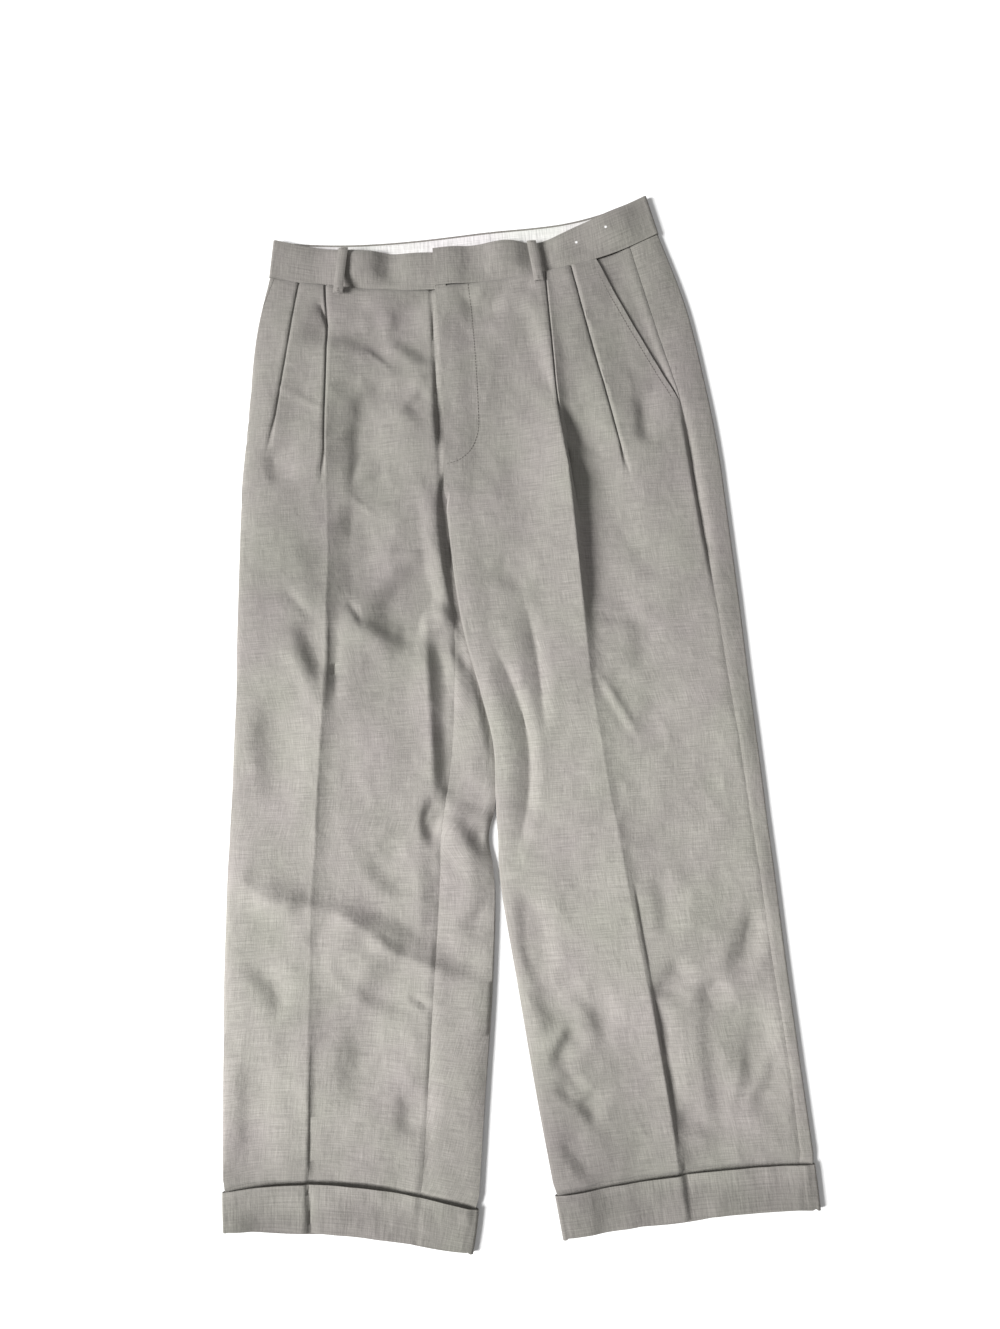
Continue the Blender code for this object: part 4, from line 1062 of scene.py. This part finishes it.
def thread_run(points, normal_z, length, radius):
    """Points and faces of a row of stitches along a line of points.

    Stitches lie end to end a third of their length apart.  Each is a spindle: rings of five points
    whose size swells as the square root of one less the square of the way along it.
    """
    steps = np.linalg.norm(np.diff(points, axis=0), axis=1)
    along = np.concatenate(([0.0], np.cumsum(steps)))
    pitch = length * STITCH_PITCH
    count = max(int(along[-1] / pitch), 1)
    middles = (np.arange(count) + 0.5) * along[-1] / count
    centre = np.stack([np.interp(middles, along, points[:, k]) for k in range(3)], -1)
    ahead = np.stack([np.interp(middles + length / 2, along, points[:, k]) for k in range(3)], -1)
    way = ahead - centre
    way /= np.maximum(np.linalg.norm(way, axis=1, keepdims=True), TINY)
    aside = np.cross(way, (0.0, 0.0, 1.0))
    up = np.cross(aside, way)
    run = np.linspace(-1, 1, RINGS)
    swell = np.sqrt(np.maximum(1 - run ** 2, BLUNT))
    turn = np.arange(RING_POINTS) / RING_POINTS * 2 * np.pi
    ring = (
        way[:, None, None] * (run * length / 2)[None, :, None, None]
        + aside[:, None, None] * (swell[:, None] * np.cos(turn) * radius)[None, :, :, None]
        + up[:, None, None] * (swell[:, None] * np.sin(turn) * radius)[None, :, :, None]
    )
    spots = centre[:, None, None] + ring + np.array((0, 0, normal_z))
    index = np.arange(RINGS * RING_POINTS).reshape(RINGS, RING_POINTS)
    nxt = np.roll(index, -1, axis=1)
    quads = np.stack((index[:-1], nxt[:-1], nxt[1:], index[1:]), -1).reshape(-1, 4)
    block = np.vstack((quads, index[0, [0, 4, 3, 2]], index[-1, :4]))
    faces = (block[None] + index.size * np.arange(count)[:, None, None]).reshape(-1, 4)
    return spots.reshape(-1, 3), faces


def stitch_piece(name, runs, length, radius):
    """One mesh of many rows of stitches."""
    points = []
    faces = []
    start = 0
    for line, height in runs:
        spots, quads = thread_run(line, height, length, radius)
        points.append(spots)
        faces.append(quads + start)
        start += len(spots)
    return add_mesh(name, np.vstack(points) * MM, np.vstack(faces))


def on_leg(cut, distances):
    """Points on a leg's upper layer, one for each cut, at these distances from the inner edge."""
    return cut.place(distances[:, None], inner_fold=False)[:, 0]


def node_maker(material):
    """The material's shader, and a function that adds a node and returns its outputs.

    Its inputs are given by name or number: a socket is linked and any other value is set.
    """
    material.use_nodes = True
    tree = material.node_tree

    def feed(node, inputs):
        for key, value in inputs.items():
            if isinstance(value, bpy.types.NodeSocket):
                tree.links.new(value, node.inputs[key])
            else:
                node.inputs[key].default_value = value

    def add(kind, inputs, **choices):
        node = tree.nodes.new("ShaderNode" + kind)
        for key, value in choices.items():
            setattr(node, key, value)
        feed(node, inputs)
        return node.outputs

    def ramp(share, stops, interpolation="LINEAR"):
        node = tree.nodes.new("ShaderNodeValToRGB")
        feed(node, {"Fac": share})
        line = node.color_ramp
        line.interpolation = interpolation
        for end, (place, colour) in zip(line.elements, (stops[0], stops[-1])):
            end.position = place
            end.color = (*colour, 1)
        for place, colour in stops[1:-1]:
            line.elements.new(place).color = (*colour, 1)
        return node.outputs["Color"]

    shader = tree.nodes["Principled BSDF"]
    return lambda inputs: feed(shader, inputs), add, ramp


def wool_material(name, colour, roughness, depth):
    """Plain-woven worsted: uneven yarns both ways, a soft change of tint, and fine crumpling.

    The colour is its tint, times the yarns' tone, times a painted light-and-shade tone down the
    garment, times the painted shade of each patch near it, with lint over it.  The bump is
    crumpling and a share of the yarns and of a checker of single threads.
    """
    material = bpy.data.materials.new(name)
    shade, add, ramp = node_maker(material)
    place = add("TexCoord", {})

    def times(first, second):
        return add("Math", {0: first, 1: second}, operation="MULTIPLY")["Value"]

    def distance_to(x, y):
        return add("VectorMath", {0: flat, 1: (x, y, 0.0)}, operation="DISTANCE")["Value"]

    def noise(vector, scale, detail, strength, **choices):
        inputs = {"Vector": vector, "Scale": scale, "Detail": detail, "Roughness": strength}
        return add("TexNoise", inputs, **choices)["Fac"]

    threads = []
    for scale, start in YARNS:
        spread = add("Mapping", {"Vector": place["UV"], "Scale": scale, "Location": start})
        threads.append(noise(spread["Vector"], 1.0, 3.0, ROUGH, noise_dimensions="2D"))
    yarns = add("Math", {0: threads[0], 1: threads[1]}, operation="ADD")["Value"]
    yarn_tone = add("MapRange", {
        "Value": yarns, "From Min": YARN_RANGE[0], "From Max": YARN_RANGE[1],
        "To Min": YARN_TONES[0], "To Max": YARN_TONES[1]})["Result"]
    # Painted light and shade: a tone by height down the garment.
    height = add("SeparateXYZ", {"Vector": place["Object"]})["Y"]
    down = add("MapRange", {"Value": height, "From Min": PAINTED_LIGHT_TOP, "From Max": -PAINTED_LIGHT_TOP})["Result"]
    painted_light = ramp(down, [(share, (tone / 2,) * 3) for share, tone in PAINTED_LIGHT_TONES], "EASE")
    tone = times(times(painted_light, 2.0), yarn_tone)
    flat = add("Mapping", {"Vector": place["Object"], "Scale": (1.0, 1.0, 0.0)})["Vector"]
    # Painted shade: each patch darkens the tone toward its middle.
    for patch in PAINTED_SHADE_PATCHES:
        near = add("MapRange", {
            "Value": distance_to(patch.x, patch.y), "From Max": patch.reach,
            "To Min": patch.tone, "To Max": 1.0}, interpolation_type="SMOOTHSTEP")["Result"]
        tone = times(tone, near)
    tint = ramp(noise(place["Object"], TINT_SCALE, 3.0, TINT_ROUGH), [
        (share, tuple(np.multiply(colour, gains))) for share, gains in TINTS])
    cloth = add("VectorMath", {0: tint, "Scale": tone}, operation="SCALE")["Vector"]
    for x, y in LINT:
        cover = add("MapRange", {
            "Value": distance_to(x, y), "From Min": LINT_RADIUS * LINT_EDGE[0],
            "From Max": LINT_RADIUS * LINT_EDGE[1], "To Min": LINT_COVER, "To Max": 0.0})["Result"]
        cloth = add("Mix", {0: cover, 6: cloth, 7: LINT_COLOUR}, data_type="RGBA")[2]
    single = add("Mapping", {"Vector": place["UV"], "Scale": (WEAVE_SCALE, WEAVE_SCALE, 1.0)})
    weave = add("TexChecker", {"Vector": single["Vector"], "Scale": 1.0})["Fac"]
    crumple = noise(place["Object"], CRUMPLE_SCALE, 4.0, ROUGH)
    grain = add("Math", {0: yarns, 1: YARN_BUMP, 2: crumple}, operation="MULTIPLY_ADD")["Value"]
    relief = add("Math", {0: weave, 1: WEAVE_BUMP, 2: grain}, operation="MULTIPLY_ADD")["Value"]
    bump = add("Bump", {"Height": relief, "Strength": 1.0, "Distance": depth})["Normal"]
    shade({"Base Color": cloth, "Normal": bump, "Roughness": roughness, **SHEEN})
    material.diffuse_color = (*colour, 1.0)
    return material


def floor_material(colour):
    """A matt pale floor with the faintest unevenness of tone."""
    material = bpy.data.materials.new("pale_floor")
    shade, add, ramp = node_maker(material)
    place = add("TexCoord", {})["Object"]
    noise = add("TexNoise", {"Vector": place, "Scale": 3.0, "Detail": 2.0})["Fac"]
    tones = ramp(noise, ((0.0, tuple(np.multiply(colour, FLOOR_UNEVEN))), (1.0, colour)))
    shade({"Base Color": tones, **FLOOR_FINISH})
    return material


def settings():
    """The sizes and colours of this file's own property groups."""
    return bpy.context.scene.trouser_sizes, bpy.context.scene.trouser_colours


def cloth(name):
    """The material of this name: an existing one, or a new one in the groups' colours."""
    _, colours = settings()
    finish = FINISHES[name]
    colour = tuple(getattr(colours, finish.colour))
    roughness = finish.roughness or colours.roughness
    return bpy.data.materials.get(name) or wool_material(name, colour, roughness, finish.relief)


def leg_cut(leg, stations):
    """The cuts across a leg at these stations, with the sizes of the property group."""
    sizes, _ = settings()
    return Cut(leg, stations, sizes.wall / MM, sizes.puff / MM)


class TrouserSizes(bpy.types.PropertyGroup):
    """Sizes that a user would change."""

    wall: bpy.props.FloatProperty(
        name="Cloth", description="Thickness of a panel", default=0.001, unit="LENGTH")
    puff: bpy.props.FloatProperty(
        name="Puff", description="How far the upper layer stands up inside its edges",
        default=0.0036, unit="LENGTH")
    turn_up_wall: bpy.props.FloatProperty(
        name="Turn-up", description="Thickness of the doubled cloth", default=0.0012, unit="LENGTH")
    loop_wall: bpy.props.FloatProperty(
        name="Belt loop", description="Thickness of a belt loop", default=0.0012, unit="LENGTH")
    stitch: bpy.props.FloatProperty(
        name="Stitch", description="Length of one stitch", default=0.0026, unit="LENGTH")
    thread: bpy.props.FloatProperty(
        name="Thread", description="Radius of the thread", default=0.00038, unit="LENGTH")
    rows: bpy.props.IntProperty(
        name="Rows", description="Cuts down a panel", default=330, min=40, max=400)


class TrouserColours(bpy.types.PropertyGroup):
    """Colours and finish that a user would change."""

    cloth: bpy.props.FloatVectorProperty(
        name="Cloth", description="Colour of the wool", subtype="COLOR",
        default=(0.276, 0.266, 0.250), min=0, max=1)
    # A darker copy of the cloth colour: painted shade for the facings in the pocket mouths.
    facing: bpy.props.FloatVectorProperty(
        name="Facing", description="Colour of the pocket facings", subtype="COLOR",
        default=(0.256, 0.247, 0.232), min=0, max=1)
    lining: bpy.props.FloatVectorProperty(
        name="Lining", description="Colour of the waistband lining", subtype="COLOR",
        default=(0.780, 0.775, 0.780), min=0, max=1)
    thread: bpy.props.FloatVectorProperty(
        name="Thread", description="Colour of the stitches", subtype="COLOR",
        default=(0.130, 0.122, 0.112), min=0, max=1)
    floor: bpy.props.FloatVectorProperty(
        name="Floor", description="Colour of the floor", subtype="COLOR",
        default=(0.930, 0.930, 0.930), min=0, max=1)
    roughness: bpy.props.FloatProperty(
        name="Roughness", description="Roughness of the wool", default=0.88, min=0, max=1,
        subtype="FACTOR")


class TROUSERS_OT_fronts(bpy.types.Operator):
    """Make the two front panels with their pleats, creases and soft folds"""

    bl_idname = "trousers.fronts"
    bl_label = "Fronts"

    def execute(self, context):
        rows = context.scene.trouser_sizes.rows
        for leg in LEGS:
            cut = leg_cut(leg, panel_stations(leg, 0.0, LAST_STATION, rows))
            grid, e = front_grid(cut)
            lay_cloth(f"front_panel_{leg.name}", f"front_{leg.name}", grid, cut.wall,
                      round_cut=e)
        return {"FINISHED"}


class TROUSERS_OT_backs(bpy.types.Operator):
    """Make the two back panels, which lie on the floor"""

    bl_idname = "trousers.backs"
    bl_label = "Backs"

    def execute(self, context):
        rows = int(context.scene.trouser_sizes.rows * BACK_ROWS)
        for leg in LEGS:
            cut = leg_cut(leg, panel_stations(leg, 0.0, LAST_STATION, rows))
            grid, e = back_grid(cut)
            lay_cloth(f"back_panel_{leg.name}", f"back_{leg.name}", grid, cut.wall,
                      round_cut=e)
        return {"FINISHED"}


class TROUSERS_OT_facings(bpy.types.Operator):
    """Make the pocket facings behind the slanted mouths"""

    bl_idname = "trousers.facings"
    bl_label = "Pocket facings"

    def execute(self, context):
        for leg in LEGS:
            last = POCKET_STATIONS - FACING_SHORT
            cut = leg_cut(leg, panel_stations(leg, 0.0, last, FACING_ROWS))
            grid, e = facing_grid(cut)
            lay_cloth(f"facing_{leg.name}", f"pocket_facing_{leg.name}", grid, cut.wall,
                      material="greige_wool_facing", round_cut=e)
        return {"FINISHED"}


class TROUSERS_OT_turn_ups(bpy.types.Operator):
    """Make the turn-ups round the ends of the legs"""

    bl_idname = "trousers.turn_ups"
    bl_label = "Turn-ups"

    def execute(self, context):
        wall = context.scene.trouser_sizes.turn_up_wall / MM
        for leg in LEGS:
            grid = turn_up_grid(leg_cut(leg, np.linspace(TOP_OF_TURN_UP, HEM, TURN_UP_ROWS)), wall)
            lay_cloth(f"cuff_{leg.name}", f"turn_up_{leg.name}", grid, wall,
                      ring=True)
        return {"FINISHED"}


class TROUSERS_OT_waistband(bpy.types.Operator):
    """Make the two halves of the waistband"""

    bl_idname = "trousers.waistband"
    bl_label = "Waistband"

    def execute(self, context):
        for leg in LEGS:
            grid = band_grid(leg, np.linspace(0, 1, BAND_ROWS))
            lay_cloth(f"band_{leg.name}", f"waistband_{leg.name}", grid, BAND_WALL)
        return {"FINISHED"}


class TROUSERS_OT_lining(bpy.types.Operator):
    """Make the white lining inside the back of the waistband"""

    bl_idname = "trousers.lining"
    bl_label = "Waistband lining"

    def execute(self, context):
        for leg in LEGS:
            depths = np.array((LINING_INSET, LINING_DEPTH)) / leg.band_height
            grid = band_grid(leg, np.linspace(*(1 - depths), LINING_ROWS), lining=True)
            grid[..., 2] += (BAND_WALL + LINING_WALL) / 2 + GAP
            lay_cloth(f"lining_{leg.name}", f"waist_lining_{leg.name}", grid, LINING_WALL,
                      material="white_cotton")
        return {"FINISHED"}


class TROUSERS_OT_loops(bpy.types.Operator):
    """Make the two front belt loops"""

    bl_idname = "trousers.loops"
    bl_label = "Belt loops"

    def execute(self, context):
        wall = context.scene.trouser_sizes.loop_wall / MM
        for leg in LEGS:
            lay_cloth(f"loop_{leg.name}", f"belt_loop_{leg.name}", loop_grid(leg, wall), wall)
        return {"FINISHED"}


class TROUSERS_OT_stitches(bpy.types.Operator):
    """Make the fly's curved row of stitches, the pocket edge's and the loops' tacks"""

    bl_idname = "trousers.stitches"
    bl_label = "Stitches"

    def execute(self, context):
        sizes, _ = settings()
        radius = sizes.thread / MM
        sunk = radius * SUNK_THREAD
        on_cloth = sizes.wall / MM / 2 + sunk
        start, corner, end = FLY_STITCH_STATIONS
        straight, curved = FLY_STITCH_POINTS
        down = np.linspace(start, corner, straight)
        turn = np.linspace(0, np.pi / 2, curved + 1)[1:]
        stations = np.concatenate((down, corner + (end - corner) * np.sin(turn)))
        round_foot = FLY_STITCH_END + (FLY_STITCH - FLY_STITCH_END) * np.cos(turn)
        distances = np.concatenate((np.full_like(down, FLY_STITCH), round_foot))
        runs = [(on_leg(leg_cut(LEFT, stations), distances), on_cloth)]
        edge = leg_cut(LEFT, np.linspace(*POCKET_STITCH_STATIONS, POCKET_STITCH_POINTS))
        runs.append((on_leg(edge, (edge.width - edge.mouth)[:, 0] - POCKET_STITCH), on_cloth))
        for leg in LEGS:
            wall = sizes.loop_wall / MM
            strap = loop_grid(leg, wall)
            runs += [(strap[row, 1:-1], wall / 2 + sunk) for row in LOOP_TACKS]
        piece = stitch_piece("stitches", runs, sizes.stitch / MM, radius)
        piece.data.materials.append(cloth("sewing_thread"))
        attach(piece, "root")
        return {"FINISHED"}


def add_light(row):
    """A square soft light that looks at a point."""
    data = bpy.data.lights.new(row.name, "AREA")
    data.size = row.size
    data.energy = row.watts
    light = bpy.data.objects.new(row.name, data)
    light.location = row.place
    way = Vector(row.target) - Vector(row.place)
    light.rotation_euler = way.to_track_quat("-Z", "Y").to_euler()
    bpy.context.scene.collection.objects.link(light)


def add_camera():
    """The camera, CAMERA_DISTANCE from its target."""
    azimuth, elevation = np.radians(CAMERA_AZIMUTH), np.radians(CAMERA_ELEVATION)
    back = Vector((np.sin(azimuth) * np.cos(elevation), -np.cos(azimuth) * np.cos(elevation),
                   np.sin(elevation)))
    data = bpy.data.cameras.new("camera")
    data.lens = CAMERA_LENS
    data.sensor_width = FILM_WIDTH
    camera = bpy.data.objects.new("camera", data)
    camera.location = Vector(CAMERA_TARGET) + back * CAMERA_DISTANCE
    camera.rotation_euler = (-back).to_track_quat("-Z", "Y").to_euler()
    bpy.context.scene.collection.objects.link(camera)
    return camera


class TROUSERS_OT_stage(bpy.types.Operator):
    """Make the floor, the soft lights and the camera"""

    bl_idname = "trousers.stage"
    bl_label = "Stage"

    def execute(self, context):
        corners = np.array(((-1, -1), (1, -1), (1, 1), (-1, 1))) * FLOOR_REACH
        spots = np.column_stack((corners, np.full(4, FLOOR_LEVEL)))
        floor = add_mesh("floor", spots, np.array(((0, 1, 2, 3),)))
        floor.data.materials.append(floor_material(tuple(context.scene.trouser_colours.floor)))
        for row in LIGHTS:
            add_light(row)
        world = bpy.data.worlds.new("studio")
        world.use_nodes = True
        background = world.node_tree.nodes["Background"]
        background.inputs["Color"].default_value = (1.0, 1.0, 1.0, 1.0)
        background.inputs["Strength"].default_value = WORLD_LIGHT
        context.scene.world = world
        context.scene.camera = add_camera()
        context.scene.view_settings.view_transform = "Standard"
        return {"FINISHED"}


class TROUSERS_PT_panel(bpy.types.Panel):
    """Lists the sizes, the colours and the operators"""

    bl_idname = "TROUSERS_PT_panel"
    bl_label = "Trousers"
    bl_space_type = "VIEW_3D"
    bl_region_type = "UI"
    bl_category = "Trousers"

    def draw(self, context):
        for group in settings():
            for name in group.bl_rna.properties.keys():
                if name not in ("rna_type", "name"):
                    self.layout.prop(group, name)
        for operator in OPERATORS:
            self.layout.operator(operator.bl_idname)


OPERATORS = (
    TROUSERS_OT_fronts,
    TROUSERS_OT_backs,
    TROUSERS_OT_facings,
    TROUSERS_OT_turn_ups,
    TROUSERS_OT_waistband,
    TROUSERS_OT_lining,
    TROUSERS_OT_loops,
    TROUSERS_OT_stitches,
    TROUSERS_OT_stage,
)
CLASSES = (TrouserSizes, TrouserColours) + OPERATORS + (TROUSERS_PT_panel,)


def register():
    """Adds the classes and the two property groups to Blender."""
    for item in CLASSES:
        bpy.utils.register_class(item)
    bpy.types.Scene.trouser_sizes = bpy.props.PointerProperty(type=TrouserSizes)
    bpy.types.Scene.trouser_colours = bpy.props.PointerProperty(type=TrouserColours)


def unregister():
    """Takes them out again."""
    del bpy.types.Scene.trouser_colours
    del bpy.types.Scene.trouser_sizes
    for item in reversed(CLASSES):
        bpy.utils.unregister_class(item)


def main():
    """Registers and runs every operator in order."""
    register()
    for operator in OPERATORS:
        group, name = operator.bl_idname.split(".")
        getattr(getattr(bpy.ops, group), name)()


if __name__ == "__main__":
    main()
